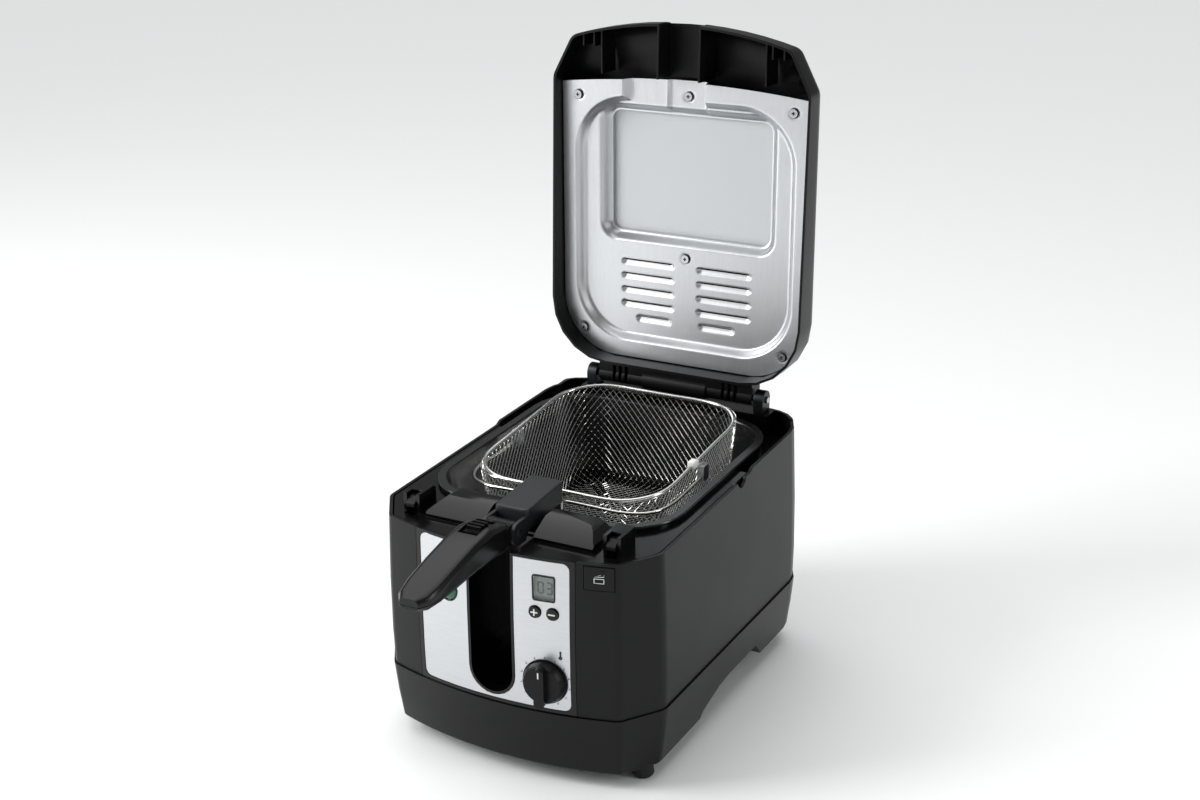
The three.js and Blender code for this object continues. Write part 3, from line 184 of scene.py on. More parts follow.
SATIN_ABS = moulded("spark eroded black ABS", "#080808", "#0c0c0d", 0.34, 0.8, 0.05, shine=0.2)
GLOSS_ABS = moulded("polished black ABS", "#050505", "#080808", 0.16, 2.5, 0.03, gloss_waves=1.5, shine=0.3)
GRIP_ABS = moulded("textured black handle ABS", "#090909", "#0d0d0e", 0.26, 0.9, 0.08, shine=0.28)
CHARCOAL_ABS = moulded("charcoal ABS", "#18191b", "#1f2123", 0.42, 0.8, 0.14, shine=0.4)
PHENOLIC = moulded("moulded phenolic", "#5f4330", "#6b4c37", 0.6, 1.2, 0.2)
FELT = moulded("open filter felt", "#1b1b1b", "#262626", 0.95, 1.5, 0.8)
RUBBER = moulded("moulded rubber", "#121212", "#181818", 0.75, 0.7, 0.25)
BOARD = moulded("green solder mask", "#1d4a2c", "#255a36", 0.4, 1.5, 0.1)

# %% [markdown]
# ## Metals
# The control plate is stainless strip brushed along its length: hair-fine lines that stretch the
# highlight across them. The lid's inner panel is pressed aluminium with a satin, rolled surface. The
# basket is bright nickel-plated wire, where the plating is thin enough to show small uneven patches.


# %% Metals
def metal(name, base, darker, roughness, stretch, grain_mm, bump, contrast=0.5):
    material, shader, place = start_material(name, base, roughness, metallic=1.0)
    links = material.node_tree.links
    mapped = add_node(material, "ShaderNodeMapping", {"Vector": place, "Scale": stretch})
    lines = add_node(
        material,
        "ShaderNodeTexNoise",
        {"Vector": mapped.outputs["Vector"], "Scale": 1 / (grain_mm * MM), "Detail": 4.0, "Roughness": 0.65},
    )
    tint = add_node(
        material,
        "ShaderNodeMix",
        {"Factor": lines.outputs["Fac"], 6: colour(darker), 7: colour(base)},
        data_type="RGBA",
    )
    links.new(tint.outputs[2], shader.inputs["Base Color"])
    spread = add_node(
        material,
        "ShaderNodeMapRange",
        {
            "Value": lines.outputs["Fac"],
            "To Min": roughness * (1 - contrast / 2),
            "To Max": roughness * (1 + contrast / 2),
        },
    )
    links.new(spread.outputs["Result"], shader.inputs["Roughness"])
    relief = add_node(
        material,
        "ShaderNodeBump",
        {"Height": lines.outputs["Fac"], "Strength": bump, "Distance": 0.0002},
    )
    links.new(relief.outputs["Normal"], shader.inputs["Normal"])
    return material


BRUSHED_STEEL = metal("brushed stainless strip", "#d2d3d5", "#b4b6b9", 0.34, (0.03, 0.03, 1), 0.8, 0.12)
TURNED_STEEL = metal("zinc plated steel", "#c9cacc", "#aeb0b3", 0.3, (1, 1, 1), 1.5, 0.08)
PRESSED_ALUMINIUM = metal("satin pressed aluminium", "#d0d1d3", "#bcbec1", 0.36, (1, 0.06, 0.06), 1.0, 0.05)
PLATED_WIRE = metal("bright nickel plated wire", "#e2e2e0", "#c4c4c2", 0.16, (1, 1, 1), 3.0, 0.04)
DARK_STEEL = metal("heater sheath steel", "#6b6c6e", "#4c4d50", 0.4, (1, 1, 1), 2.0, 0.1)
HINGE_STEEL = metal("oil blackened steel", "#3a3b3d", "#2a2b2c", 0.38, (1, 1, 1), 1.5, 0.08)

# %% [markdown]
# ## Coating, glass, lens and ink
# The bowl has a baked non-stick coating with a faint speckle. The window is toughened glass, painted pale
# and only partly clear: the paleness is a painted reflection of a white softbox. The lamp is a tinted lens,
# and the symbols are printed ink that stands a hair above the surface.

# %% Coating, glass, lens and ink
COATING = moulded("baked non stick coating", "#0b0b0c", "#151617", 0.24, 1.3, 0.06)


def clear(name, tint, roughness, transmission):
    material, shader, place = start_material(name, tint, roughness, ior=1.5)
    shader.inputs["Transmission Weight"].default_value = transmission
    smears = add_node(material, "ShaderNodeTexNoise", {"Vector": place, "Scale": 25.0, "Detail": 3.0})
    spread = add_node(
        material,
        "ShaderNodeMapRange",
        {"Value": smears.outputs["Fac"], "To Min": roughness * 0.6, "To Max": roughness * 1.6},
    )
    material.node_tree.links.new(spread.outputs["Result"], shader.inputs["Roughness"])
    return material


# The window's pale base colour and low transmission paint the reflection of a white softbox onto the glass.
WINDOW = clear("pale window glass with painted reflection", "#d9dcdf", 0.12, 0.3)
DISPLAY_PANE = clear("clear display pane", "#f6f8f8", 0.03, 1.0)
GREEN_LENS = clear("green tinted lens", "#0f6a46", 0.12, 0.25)
LCD = moulded("liquid crystal panel", "#8f9d95", "#98a69e", 0.3, 3.0, 0.02)
LCD_INK = moulded("liquid crystal segment", "#0c100e", "#141816", 0.4, 3.0, 0.02)
WHITE_INK = moulded("white pad printed ink", "#dcdddd", "#e6e6e6", 0.5, 1.0, 0.05)
BLACK_INK = moulded("black pad printed ink", "#1c1c1d", "#232324", 0.5, 1.0, 0.05)
WHITE_NYLON = moulded("white nylon", "#e4e4e0", "#ecece8", 0.45, 1.2, 0.1)
SILICONE = moulded("pale silicone", "#b9bcbd", "#c4c7c8", 0.5, 1.2, 0.05)

# %% [markdown]
# ## Soft edges on the moulded and pressed pieces
# No mould or press leaves a knife edge. Each visible solid is copied, its loose triangles are welded and
# the flat ones joined, and a narrow bevel rounds its edges. The copy stands for the solid, which stays
# hidden for collision.

# %% Which solid gets which finish and edge
FINISHES = {
    "outer_housing": (SATIN_ABS, "satin_black", 0.5),
    "base_moulding": (SATIN_ABS, "satin_black", 0.6),
    "top_deck": (GLOSS_ABS, "gloss_black", 0.6),
    "control_fascia": (GLOSS_ABS, "gloss_black", 0.4),
    "control_plate": (BRUSHED_STEEL, "brushed_steel", 0.25),
    "lid_shell": (SATIN_ABS, "satin_black", 0.5),
    "lid_hinge_carrier": (SATIN_ABS, "satin_black", 0.4),
    "oil_bowl": (COATING, "bowl_enamel", 0.6),
    "handle_hub": (CHARCOAL_ABS, "charcoal", 0.8),
    "handle_grip": (GRIP_ABS, "satin_black", 0.8),
    "handle_underside": (GRIP_ABS, "satin_black", 0.6),
    "handle_button": (GRIP_ABS, "satin_black", 0.5),
    "thermostat_knob": (SATIN_ABS, "satin_black", 0.7),
    "lid_button": (SATIN_ABS, "satin_black", 0.5),
    "timer_plus_button": (GLOSS_ABS, "satin_black", 0.4),
    "timer_minus_button": (GLOSS_ABS, "satin_black", 0.4),
    "latch_catch_left": (SATIN_ABS, "satin_black", 0.4),
    "latch_catch_right": (SATIN_ABS, "satin_black", 0.4),
    "basket_slider": (TURNED_STEEL, "brushed_steel", 0.5),
    "yoke_clip_left": (TURNED_STEEL, "brushed_steel", 0.6),
    "yoke_clip_right": (TURNED_STEEL, "brushed_steel", 0.6),
    "hinge_bracket_left": (HINGE_STEEL, "brushed_steel", 0.5),
    "hinge_bracket_right": (HINGE_STEEL, "brushed_steel", 0.5),
    "filter_cover": (GLOSS_ABS, "gloss_black", 0.4),
    "foot_front_left": (RUBBER, "rubber", 0.5),
    "foot_front_right": (RUBBER, "rubber", 0.5),
    "foot_rear_left": (RUBBER, "rubber", 0.5),
    "foot_rear_right": (RUBBER, "rubber", 0.5),
    "indicator_lens": (GREEN_LENS, "green_lens", 0.3),
    "cord_gland": (RUBBER, "rubber", 0.5),
    "basket_rim": (PLATED_WIRE, "chrome_wire", 0.0),
    "yoke_wire_left": (PLATED_WIRE, "chrome_wire", 0.0),
    "yoke_wire_right": (PLATED_WIRE, "chrome_wire", 0.0),
    "hinge_pin_left": (TURNED_STEEL, "chrome_wire", 0.4),
    "hinge_pin_right": (TURNED_STEEL, "chrome_wire", 0.4),
    "lid_spring": (TURNED_STEEL, "brushed_steel", 0.0),
}
BODY_OF = {
    node: body for body, members in frame["record"]["behaviour"]["bodies"].items() for node in members
}
SAME_PLACE = 1e-6
FLAT_ENOUGH = math.radians(0.6)
EDGE_ANGLE = math.radians(32)


# %% Copy and weld a solid
def welded_copy(node, join_flat=True):
    piece = NODES[node].copy()
    piece.data = NODES[node].data.copy()
    for key in list(piece.keys()):
        del piece[key]
    piece.name = node + "_finished"
    piece.parent = None
    bpy.context.scene.collection.objects.link(piece)
    only(piece)
    bpy.ops.object.mode_set(mode="EDIT")
    bpy.ops.mesh.select_all(action="SELECT")
    bpy.ops.mesh.remove_doubles(threshold=SAME_PLACE)
    if join_flat:
        bpy.ops.mesh.dissolve_limited(angle_limit=FLAT_ENOUGH)
    bpy.ops.object.mode_set(mode="OBJECT")
    return piece


# %% Bevel it and give it its finish
def dress(piece, node, material, smooth=EDGE_ANGLE):
    bpy.ops.object.shade_smooth_by_angle(angle=smooth)
    even = piece.modifiers.new("even shading", "WEIGHTED_NORMAL")
    even.keep_sharp = True
    bpy.ops.object.modifier_apply(modifier=even.name)
    piece.data.materials.clear()
    piece.data.materials.append(material)
    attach(piece, BODY_OF[node])
    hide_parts(node)
    return piece


def finished_copy(node):
    material, slot, width_mm = FINISHES[node]
    piece = welded_copy(node, join_flat=width_mm > 0)
    if width_mm:
        bevel = piece.modifiers.new("soft edge", "BEVEL")
        bevel.width = width_mm * MM
        bevel.segments = 2
        bevel.angle_limit = EDGE_ANGLE
        bpy.ops.object.modifier_apply(modifier=bevel.name)
    return dress(piece, node, material)


for node in FINISHES:
    finished_copy(node)
print("finished copies", len(FINISHES))

# %% [markdown]
# The small or hidden solids keep their own shape and only take a finish.

# %% Finishes on the solids that stay
KEPT = {
    "display_lens": DISPLAY_PANE,
    "display_module": LCD,
    "control_board": BOARD,
    "thermostat_body": PHENOLIC,
    "thermal_cutout": PHENOLIC,
    "heat_shield": PRESSED_ALUMINIUM,
    "heating_element": DARK_STEEL,
    "latch_bar": TURNED_STEEL,
    "knob_shaft": TURNED_STEEL,
    "handle_pivot_pin": TURNED_STEEL,
    "window_glass": WINDOW,
    "window_seal": SILICONE,
    "grease_filter": FELT,
    **{f"lid_screw_{i}": TURNED_STEEL for i in range(1, 7)},
}
for node, material in KEPT.items():
    NODES[node].data.materials.clear()
    NODES[node].data.materials.append(material)
print("finished in place", len(KEPT))


# %% [markdown]
# ## The lid's pressed panel
# The panel is one sheet of aluminium, pressed between two dies. Sheet can't turn a sharp corner in a
# press, so every step is a smooth bead. A fine grid is bent the same way: each point's depth is the sum
# of the steps that it lies inside, and each step rises over a few millimetres. The window and the
# louvers' slits are cut out, and Solidify gives the sheet its thickness.

# %% The lid's own axes
LID_OPEN = math.radians(91)
hinge_place = next(Vector(j["pos_m"]) for j in frame["joints"] if j["name"] == "lid_hinge")


def on_lid(x_mm, reach_mm, depth_mm):
    """A point given by its distance from the hinge line and its depth into the lid."""
    reach, depth = reach_mm * MM, depth_mm * MM
    y = depth * math.sin(LID_OPEN) - reach * math.cos(LID_OPEN)
    z = depth * math.cos(LID_OPEN) + reach * math.sin(LID_OPEN)
    return Vector((x_mm * MM, hinge_place.y + y, hinge_place.z + z))


# %% The panel's sizes, in millimetres
FLANGE_DEPTH = 7.2
SHEET = 1.0
PANEL_HALF, PANEL_REAR, PANEL_FRONT, REAR_CORNER = 127.3, 18.7, 287.0, 56.3
FRONT_BOW, BOW_HALF = 9.5, 141.0
RECESS = {"half": (114.0, 120.0), "middle": (0.0, 154.0), "corner": 55.0, "deep": 8.75, "bead": 7.0}
WINDOW_STEP = {"half": (92.0, 67.0), "middle": (0.0, 199.0), "corner": 18.0, "deep": 18.0, "bead": 8.0}
WINDOW_HOLE = {"half": (83.0, 58.0), "middle": (0.0, 199.0), "corner": 9.0}
FRONT_WAY = {"half": (24.5, 40.0), "middle": (-39.5, 270.0), "corner": 4.0, "deep": 8.75, "bead": 6.0}
HUB_WAY = {"half": (22.5, 40.0), "middle": (0.0, 296.0), "corner": 3.0, "deep": 12.0, "bead": 4.0}
LOUVER_HALF, LOUVER_DEEP, SLIT = 3.3, 3.0, (0.9, 2.6)
LOUVER_ROWS, TOP_ROW, ROW_PITCH = 5, 112.0, 14.0
LONG_ROW, SHORT_ROW = (12.5, 68.0), (15.0, 52.0)
LOUVERS = []
for row in range(LOUVER_ROWS):
    near, far = LONG_ROW if row < LOUVER_ROWS - 1 else SHORT_ROW
    for sign in (-1, 1):
        LOUVERS.append((sign * (near + far) / 2, TOP_ROW - ROW_PITCH * row, (far - near) / 2))
SLIT_END, LOUVER_BEAD = 3.0, 1.6
DIMPLE_DEEP, DIMPLE_RADIUS, DIMPLE_BEAD = 0.5, 6.5, 2.5
SCREWS = [(-110.4, 271.3), (110.4, 271.3), (0, 275.9), (0, 121.8), (-106, 42), (106, 42)]


# %% How deep the press goes at a point
def past_corner(form, x, reach):
    """How far a point lies beyond the start of a rounded rectangle's corner, along and across."""
    out_x = abs(x - form["middle"][0]) - form["half"][0] + form["corner"]
    out_y = abs(reach - form["middle"][1]) - form["half"][1] + form["corner"]
    return out_x, out_y


def inside(form, x, reach):
    """Distance in from a rounded rectangle's edge, negative outside it."""
    out_x, out_y = past_corner(form, x, reach)
    return form["corner"] - math.hypot(max(out_x, 0), max(out_y, 0)) - min(max(out_x, out_y), 0)


def eased(value, width):
    share = min(max(value / width, 0), 1)
    return share * share * (3 - 2 * share)


def pressed_depth(x, reach):
    outer = max(
        eased(inside(form, x, reach), form["bead"]) * form["deep"] for form in (RECESS, FRONT_WAY, HUB_WAY)
    )
    window = eased(inside(WINDOW_STEP, x, reach), WINDOW_STEP["bead"])
    depth = outer + window * (WINDOW_STEP["deep"] - outer)
    for centre, level, half in LOUVERS:
        along = max(abs(x - centre) - half + LOUVER_HALF, 0)
        across = reach - level
        edge = LOUVER_HALF - math.hypot(along, across)
        if edge > 0:
            hood = 0.35 + 0.65 * (across / LOUVER_HALF + 1) / 2
            depth += LOUVER_DEEP * eased(edge, LOUVER_BEAD) * hood
    for centre, level in SCREWS:
        from_rim = DIMPLE_RADIUS - math.hypot(x - centre, reach - level)
        depth += DIMPLE_DEEP * eased(from_rim, DIMPLE_BEAD)
    return FLANGE_DEPTH + depth


# %% Bend the sheet
PANEL_ACROSS, PANEL_ALONG, CORNER_ROWS = 148, 276, 64
BOW_SETBACK, BOW_REACH = 6, 18
bpy.ops.mesh.primitive_grid_add(x_subdivisions=PANEL_ACROSS, y_subdivisions=PANEL_ALONG, size=2)
sheet = bpy.context.object
bow_radius = (BOW_HALF**2 + FRONT_BOW**2) / (2 * FRONT_BOW)
for vertex in sheet.data.vertices:
    row = round((vertex.co.y + 1) / 2 * PANEL_ALONG)
    if row <= CORNER_ROWS:
        turn = math.pi / 2 * row / CORNER_ROWS
        reach = PANEL_REAR + REAR_CORNER * (1 - math.cos(turn))
        half = PANEL_HALF - REAR_CORNER * (1 - math.sin(turn))
    else:
        share = (row - CORNER_ROWS) / (PANEL_ALONG - CORNER_ROWS)
        start = PANEL_REAR + REAR_CORNER
        reach, half = start + share * (PANEL_FRONT - start), PANEL_HALF
    x = vertex.co.x * half
    bow = FRONT_BOW - BOW_SETBACK - bow_radius + math.sqrt(bow_radius**2 - x * x)
    reach += bow * eased(reach - PANEL_FRONT + BOW_REACH, BOW_REACH)
    vertex.co = (x, reach, 0)
only(sheet)

# %% Cut the window and the slits
shape = bmesh.new()
shape.from_mesh(sheet.data)
gone = []
for face in shape.faces:
    middle_point = face.calc_center_median()
    if inside(WINDOW_HOLE, middle_point.x, middle_point.y) > 0:
        gone.append(face)
        continue
    for centre, level, half in LOUVERS:
        if abs(middle_point.x - centre) < half - SLIT_END and SLIT[0] < middle_point.y - level < SLIT[1]:
            gone.append(face)
            break
bmesh.ops.delete(shape, geom=gone, context="FACES")

# %% Draw the window's ragged edge in to its true line
NEAR_HOLE = 2.5
for vertex in shape.verts:
    off = inside(WINDOW_HOLE, vertex.co.x, vertex.co.y)
    if vertex.is_boundary and abs(off) < NEAR_HOLE:
        out_x, out_y = past_corner(WINDOW_HOLE, vertex.co.x, vertex.co.y)
        sign_x = math.copysign(1, vertex.co.x - WINDOW_HOLE["middle"][0])
        sign_y = math.copysign(1, vertex.co.y - WINDOW_HOLE["middle"][1])
        if out_x > 0 and out_y > 0:
            length = math.hypot(out_x, out_y)
            vertex.co.x += sign_x * off * out_x / length
            vertex.co.y += sign_y * off * out_y / length
        elif out_x > out_y:
            vertex.co.x += sign_x * off
        else:
            vertex.co.y += sign_y * off

# %% Press it and give it its thickness
for vertex in shape.verts:
    vertex.co = on_lid(vertex.co.x, vertex.co.y, pressed_depth(vertex.co.x, vertex.co.y))
bmesh.ops.recalc_face_normals(shape, faces=shape.faces)
if sum(face.normal.y for face in shape.faces) > 0:
    bmesh.ops.reverse_faces(shape, faces=shape.faces)
shape.to_mesh(sheet.data)
shape.free()
thick = sheet.modifiers.new("sheet", "SOLIDIFY")
thick.thickness = SHEET * MM
thick.offset = -1
bpy.ops.object.modifier_apply(modifier=thick.name)
sheet.name = "lid_pressed_panel"
dress(sheet, "lid_inner_panel", PRESSED_ALUMINIUM, smooth=math.radians(50))
print("pressed panel faces", len(sheet.data.polygons))

# %% [markdown]
# ## Placing a new piece
# A new piece ends with its object at the origin and its place in its mesh, and rides on one body.


# %% Settle a piece
def settle(piece, name, body, material, smooth=EDGE_ANGLE):
    piece.name = name
    only(piece)
    bpy.ops.object.transform_apply(location=True, rotation=True, scale=True)
    piece.data.materials.clear()
    piece.data.materials.append(material)
    bpy.ops.object.shade_smooth_by_angle(angle=smooth)
    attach(piece, body)
    return piece


# %% [markdown]
# ## The wire basket
# The real basket is woven wire, pressed into a tub with diamond openings. A grid is the tub's floor, and
# its border is extruded upwards in steps to make the walls. Poking every face and dissolving the old
# edges turns the squares into diamonds, and a Wireframe modifier turns the edges into wire.

# %% The tub's outline
rim_low, rim_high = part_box("basket_rim")
RIM_WIRE = 2.0 * MM
half_x = rim_high.x - RIM_WIRE
half_y = (rim_high.y - rim_low.y) / 2 - RIM_WIRE
centre_y = (rim_high.y + rim_low.y) / 2
CORNER = 45 * MM
RIM_SLOPE = 0.104
rim_mid_z = (rim_high.z + rim_low.z) / 2
ACROSS, ALONG = 24, 28
PERIMETER = 2 * (ACROSS + ALONG)
CORNER_TURNS = ((1, -1, -45, 0), (1, 1, 0, 90), (-1, 1, 90, 180), (-1, -1, 180, 270), (1, -1, 270, 315))
CORNER_STEPS = 12


def outline(hx, hy, corner, count):
    """Evenly spaced points round a rounded rectangle, from its front right corner."""
    dense = []
    for sx, sy, begin, stop in CORNER_TURNS:
        for step in range(CORNER_STEPS + 1):
            angle = math.radians(begin + (stop - begin) * step / CORNER_STEPS)
            dense.append(
                (sx * (hx - corner) + corner * math.cos(angle), sy * (hy - corner) + corner * math.sin(angle))
            )
    lengths = [0.0]
    for (x0, y0), (x1, y1) in zip(dense, dense[1:]):
        lengths.append(lengths[-1] + math.hypot(x1 - x0, y1 - y0))
    points = []
    k = 0
    for i in range(count):
        want = lengths[-1] * i / count
        while lengths[k + 1] < want:
            k += 1
        share = (want - lengths[k]) / (lengths[k + 1] - lengths[k] or 1)
        points.append(
            (
                dense[k][0] + share * (dense[k + 1][0] - dense[k][0]),
                dense[k][1] + share * (dense[k + 1][1] - dense[k][1]),
            )
        )
    return points


FLOOR_INSET = 16 * MM
floor_line = outline(half_x - FLOOR_INSET, half_y - FLOOR_INSET, CORNER - FLOOR_INSET, PERIMETER)

# %% The tub's floor
bpy.ops.mesh.primitive_grid_add(x_subdivisions=ACROSS, y_subdivisions=ALONG, size=2)
tub = bpy.context.object
TINY = 1e-6
for vertex in tub.data.vertices:
    u, v = vertex.co.x, vertex.co.y
    reach = max(abs(u), abs(v))
    if reach < TINY:
        vertex.co = (0, 0, 0)
        continue
    if u >= reach - TINY and v < reach - TINY:
        travelled = (v / reach + 1) / 2 * ALONG
    elif v >= reach - TINY:
        travelled = ALONG + (1 - u / reach) / 2 * ACROSS
    elif u <= -reach + TINY:
        travelled = ALONG + ACROSS + (1 - v / reach) / 2 * ALONG
    else:
        travelled = 2 * ALONG + ACROSS + (u / reach + 1) / 2 * ACROSS
    low = int(travelled) % PERIMETER
    high = (low + 1) % PERIMETER
    share = travelled - int(travelled)
    x = floor_line[low][0] * (1 - share) + floor_line[high][0] * share
    y = floor_line[low][1] * (1 - share) + floor_line[high][1] * share
    vertex.co = (x * reach, y * reach, 0)
print("tub floor", len(tub.data.polygons))

# %% The tub's walls
WALL_STEPS = 13
TUB_DEPTH = 93 * MM
# The floor turns up into the wall over the first two steps, and the wall then leans out to the rim.
TURN_UP, TURN_INSETS = (0.03, 0.10), (10.5, 8.0)
WALL_LEAN = 7.6
only(tub)
bpy.ops.object.mode_set(mode="EDIT")
bpy.ops.mesh.select_mode(type="EDGE")
bpy.ops.mesh.select_all(action="DESELECT")
bpy.ops.mesh.select_non_manifold()
size_x, size_y = half_x - FLOOR_INSET, half_y - FLOOR_INSET
shares = [step / (WALL_STEPS - 2) for step in range(1, WALL_STEPS - 1)]
heights = [*TURN_UP, *(TURN_UP[1] + (1 - TURN_UP[1]) * share for share in shares)]
insets = [*TURN_INSETS, *(TURN_INSETS[1] - WALL_LEAN * share for share in shares)]
height = 0.0
for share, inset_mm in zip(heights, insets):
    next_x, next_y = half_x - inset_mm * MM, half_y - inset_mm * MM
    bpy.ops.mesh.extrude_region_move(
        TRANSFORM_OT_translate={"value": (0, 0, share * TUB_DEPTH - height)}
    )
    bpy.ops.transform.resize(value=(next_x / size_x, next_y / size_y, 1), center_override=(0, 0, 0))
    size_x, size_y, height = next_x, next_y, share * TUB_DEPTH
bpy.ops.object.mode_set(mode="OBJECT")

# %% List the faces in a fixed order
# Extrude places its new points the same way each time, but doesn't always list its faces in one order.
# Each face is listed again from its lowest point, and the list sorted, so that every run gives one mesh.
corners = [vertex.co.copy() for vertex in tub.data.vertices]
rings = []
for face in tub.data.polygons:
    ring = list(face.vertices)
    first = ring.index(min(ring))
    rings.append(ring[first:] + ring[:first])
tub.data.clear_geometry()
tub.data.from_pydata(corners, [], sorted(rings))
tub.data.update()
bpy.ops.object.mode_set(mode="EDIT")
bpy.ops.mesh.select_all(action="SELECT")
bpy.ops.mesh.poke()
bpy.ops.object.mode_set(mode="OBJECT")
print("tub with walls", len(tub.data.vertices))

# %% Diamonds
# Poking leaves each new centre with four edges, and an old grid edge is one that touches no centre.
shape = bmesh.new()
shape.from_mesh(tub.data)
pokes = {v for v in shape.verts if len(v.link_edges) == 4 and not v.is_boundary}
grid_edges = [
    edge for edge in shape.edges if not edge.is_boundary and not any(v in pokes for v in edge.verts)
]
bmesh.ops.dissolve_edges(shape, edges=grid_edges, use_verts=False, use_face_split=False)
for vertex in shape.verts:
    vertex.co.z += RIM_SLOPE * vertex.co.y
shape.to_mesh(tub.data)
shape.free()
TUB_TOP = rim_mid_z - 0.5 * MM
tub.location = (0, centre_y, TUB_TOP - TUB_DEPTH)
only(tub)
wires = tub.modifiers.new("wire", "WIREFRAME")
wires.thickness = 1.0 * MM
wires.use_even_offset = False
wires.use_boundary = True
bpy.ops.object.modifier_apply(modifier=wires.name)
settle(tub, "basket_net", "basket", PLATED_WIRE, smooth=math.radians(60))
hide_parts("basket_mesh")
print("net triangles", sum(len(p.vertices) - 2 for p in tub.data.polygons))


# %% [markdown]
# ## Bent wire and printed strokes
# A wire is a curve with a round section, made a mesh once its line is right. A printed stroke is the same
# thing pressed nearly flat, so that a symbol of several strokes is still one clean mesh.


# %% Wires from lines
def wires_from(lines, radius, closed=False, sides=2):
    data = bpy.data.curves.new("line", "CURVE")
    data.dimensions = "3D"
    data.bevel_depth = radius
    data.bevel_resolution = sides
    data.use_fill_caps = True
    for points in lines:
        spline = data.splines.new("POLY")
        spline.points.add(len(points) - 1)
        for point, place in zip(spline.points, points):
            point.co = (*place, 1)
        spline.use_cyclic_u = closed
    piece = bpy.data.objects.new("line", data)
    bpy.context.scene.collection.objects.link(piece)
    only(piece)
    bpy.ops.object.convert(target="MESH")
    return bpy.context.object


# %% [markdown]
# ## Screw recesses
# Each panel screw has a cross recess, drawn as a dark cross of painted shade, and a dark ring of painted shade
# lies where its dimple meets the head.

# %% Crosses and rings
# The charcoal crosses and rings are painted shade: the shade inside each cross recess and in the crease round each
# head.
crosses, rings = [], []
CROSS_REACH, HEAD_RADIUS, RING_STEPS = 1.5, 4.0, 20
for number, (x, reach) in enumerate(SCREWS, start=1):
    head_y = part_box(f"lid_screw_{number}")[0].y
    depth = (head_y - hinge_place.y) / MM - reach * math.sin(LID_OPEN - math.pi / 2) - 0.1
    for across, along in ((CROSS_REACH, 0), (0, CROSS_REACH)):
        crosses.append([on_lid(x - across, reach - along, depth), on_lid(x + across, reach + along, depth)])
    turns = [2 * math.pi * step / RING_STEPS for step in range(RING_STEPS)]
    rings.append(
        [on_lid(x + HEAD_RADIUS * math.cos(a), reach + HEAD_RADIUS * math.sin(a), depth + 1.0) for a in turns]
    )
recess_shade_piece = wires_from(crosses, 0.55 * MM)
settle(recess_shade_piece, "lid_screw_recess_shade_crosses", "lid", CHARCOAL_ABS)
shade_ring_piece = wires_from(rings, 0.5 * MM, closed=True)
settle(shade_ring_piece, "lid_screw_painted_shade_rings", "lid", CHARCOAL_ABS)

# %% [markdown]
# ## Symbols on the bowed front
# The front is part of a large cylinder. A symbol is drawn flat, facing the front, then turned to the
# cylinder's direction at its place and set a hair proud of the surface.

# %% The front's surface
BOW_RADIUS = 367.6 * MM
APEX_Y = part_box("base_moulding")[0].y + 0.7 * MM
TAPER = ((68.8, 0.8), (100, 0.0), (150, 0.4), (190, 1.6), (240, 3.6))


def front_matrix(x, z, stand):
    for (z0, t0), (z1, t1) in zip(TAPER, TAPER[1:]):
        if z / MM <= z1:
            taper = t0 + (t1 - t0) * (z / MM - z0) / (z1 - z0)
            break
    radius = BOW_RADIUS - taper * MM
    angle = math.asin(x / radius)
    y = APEX_Y + BOW_RADIUS - (radius + stand) * math.cos(angle)
    x_out = x + stand * math.sin(angle)
    return Matrix.Translation((x_out, y, z)) @ Matrix.Rotation(angle, 4, "Z")


INK_FLATNESS = 0.25


def printed(name, strokes_mm, width_mm, x, z, stand_mm, body, slot, material):
    lines = [[(px * MM, 0, pz * MM) for px, pz in stroke] for stroke in strokes_mm]
    piece = wires_from(lines, width_mm * MM / 2)
    piece.matrix_world = front_matrix(x, z, stand_mm * MM) @ Matrix.Diagonal((1, INK_FLATNESS, 1, 1))
    return settle(piece, name, body, material)


def arc(radius, begin, stop, steps=10, centre=(0, 0)):
    turn = [math.radians(begin + (stop - begin) * i / steps) for i in range(steps + 1)]
    return [(centre[0] + radius * math.cos(a), centre[1] + radius * math.sin(a)) for a in turn]


# %% Where the controls are
def middle(node):
    low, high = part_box(node)
    return (low + high) / 2


knob = middle("thermostat_knob")
plus = middle("timer_plus_button")
minus = middle("timer_minus_button")
display = middle("display_lens")
release = middle("lid_button")
knob_low, knob_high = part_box("thermostat_knob")
KNOB_RADIUS_MM = (knob_high.z - knob_low.z) / 2 / MM
KNOB_X = 49.4 * MM
knob_z = knob.z

# %% Plus, minus, and the open lid
BUTTON_STAND = 1.62
BAR, UPRIGHT, BAR_WIDTH = [(-3, 0), (3, 0)], [(0, -3), (0, 3)], 1.3
for name, strokes, button in (("plus", [BAR, UPRIGHT], plus), ("minus", [BAR], minus)):
    place = (button.x + 0.5 * MM, button.z, BUTTON_STAND)
    printed(f"{name}_mark", strokes, BAR_WIDTH, *place, f"timer_{name}", "satin_black", WHITE_INK)
LID_SYMBOL = [
    [(-4, 0.2), (-4, -3.6), (4, -3.6), (4, 0.2), (-4, 0.2)],
    arc(9, 12, 58, 8, centre=(-4.6, 0.4))[:1] + [(-3.8, 1.6), (3.6, 4.6), (4.3, 3.2)],
]
LID_MARK_X, LID_MARK_STAND = 95 * MM, 0.66
place = (LID_MARK_X, release.z, LID_MARK_STAND)
printed("open_lid_mark", LID_SYMBOL, 0.7, *place, "lid_release", "satin_black", WHITE_INK)

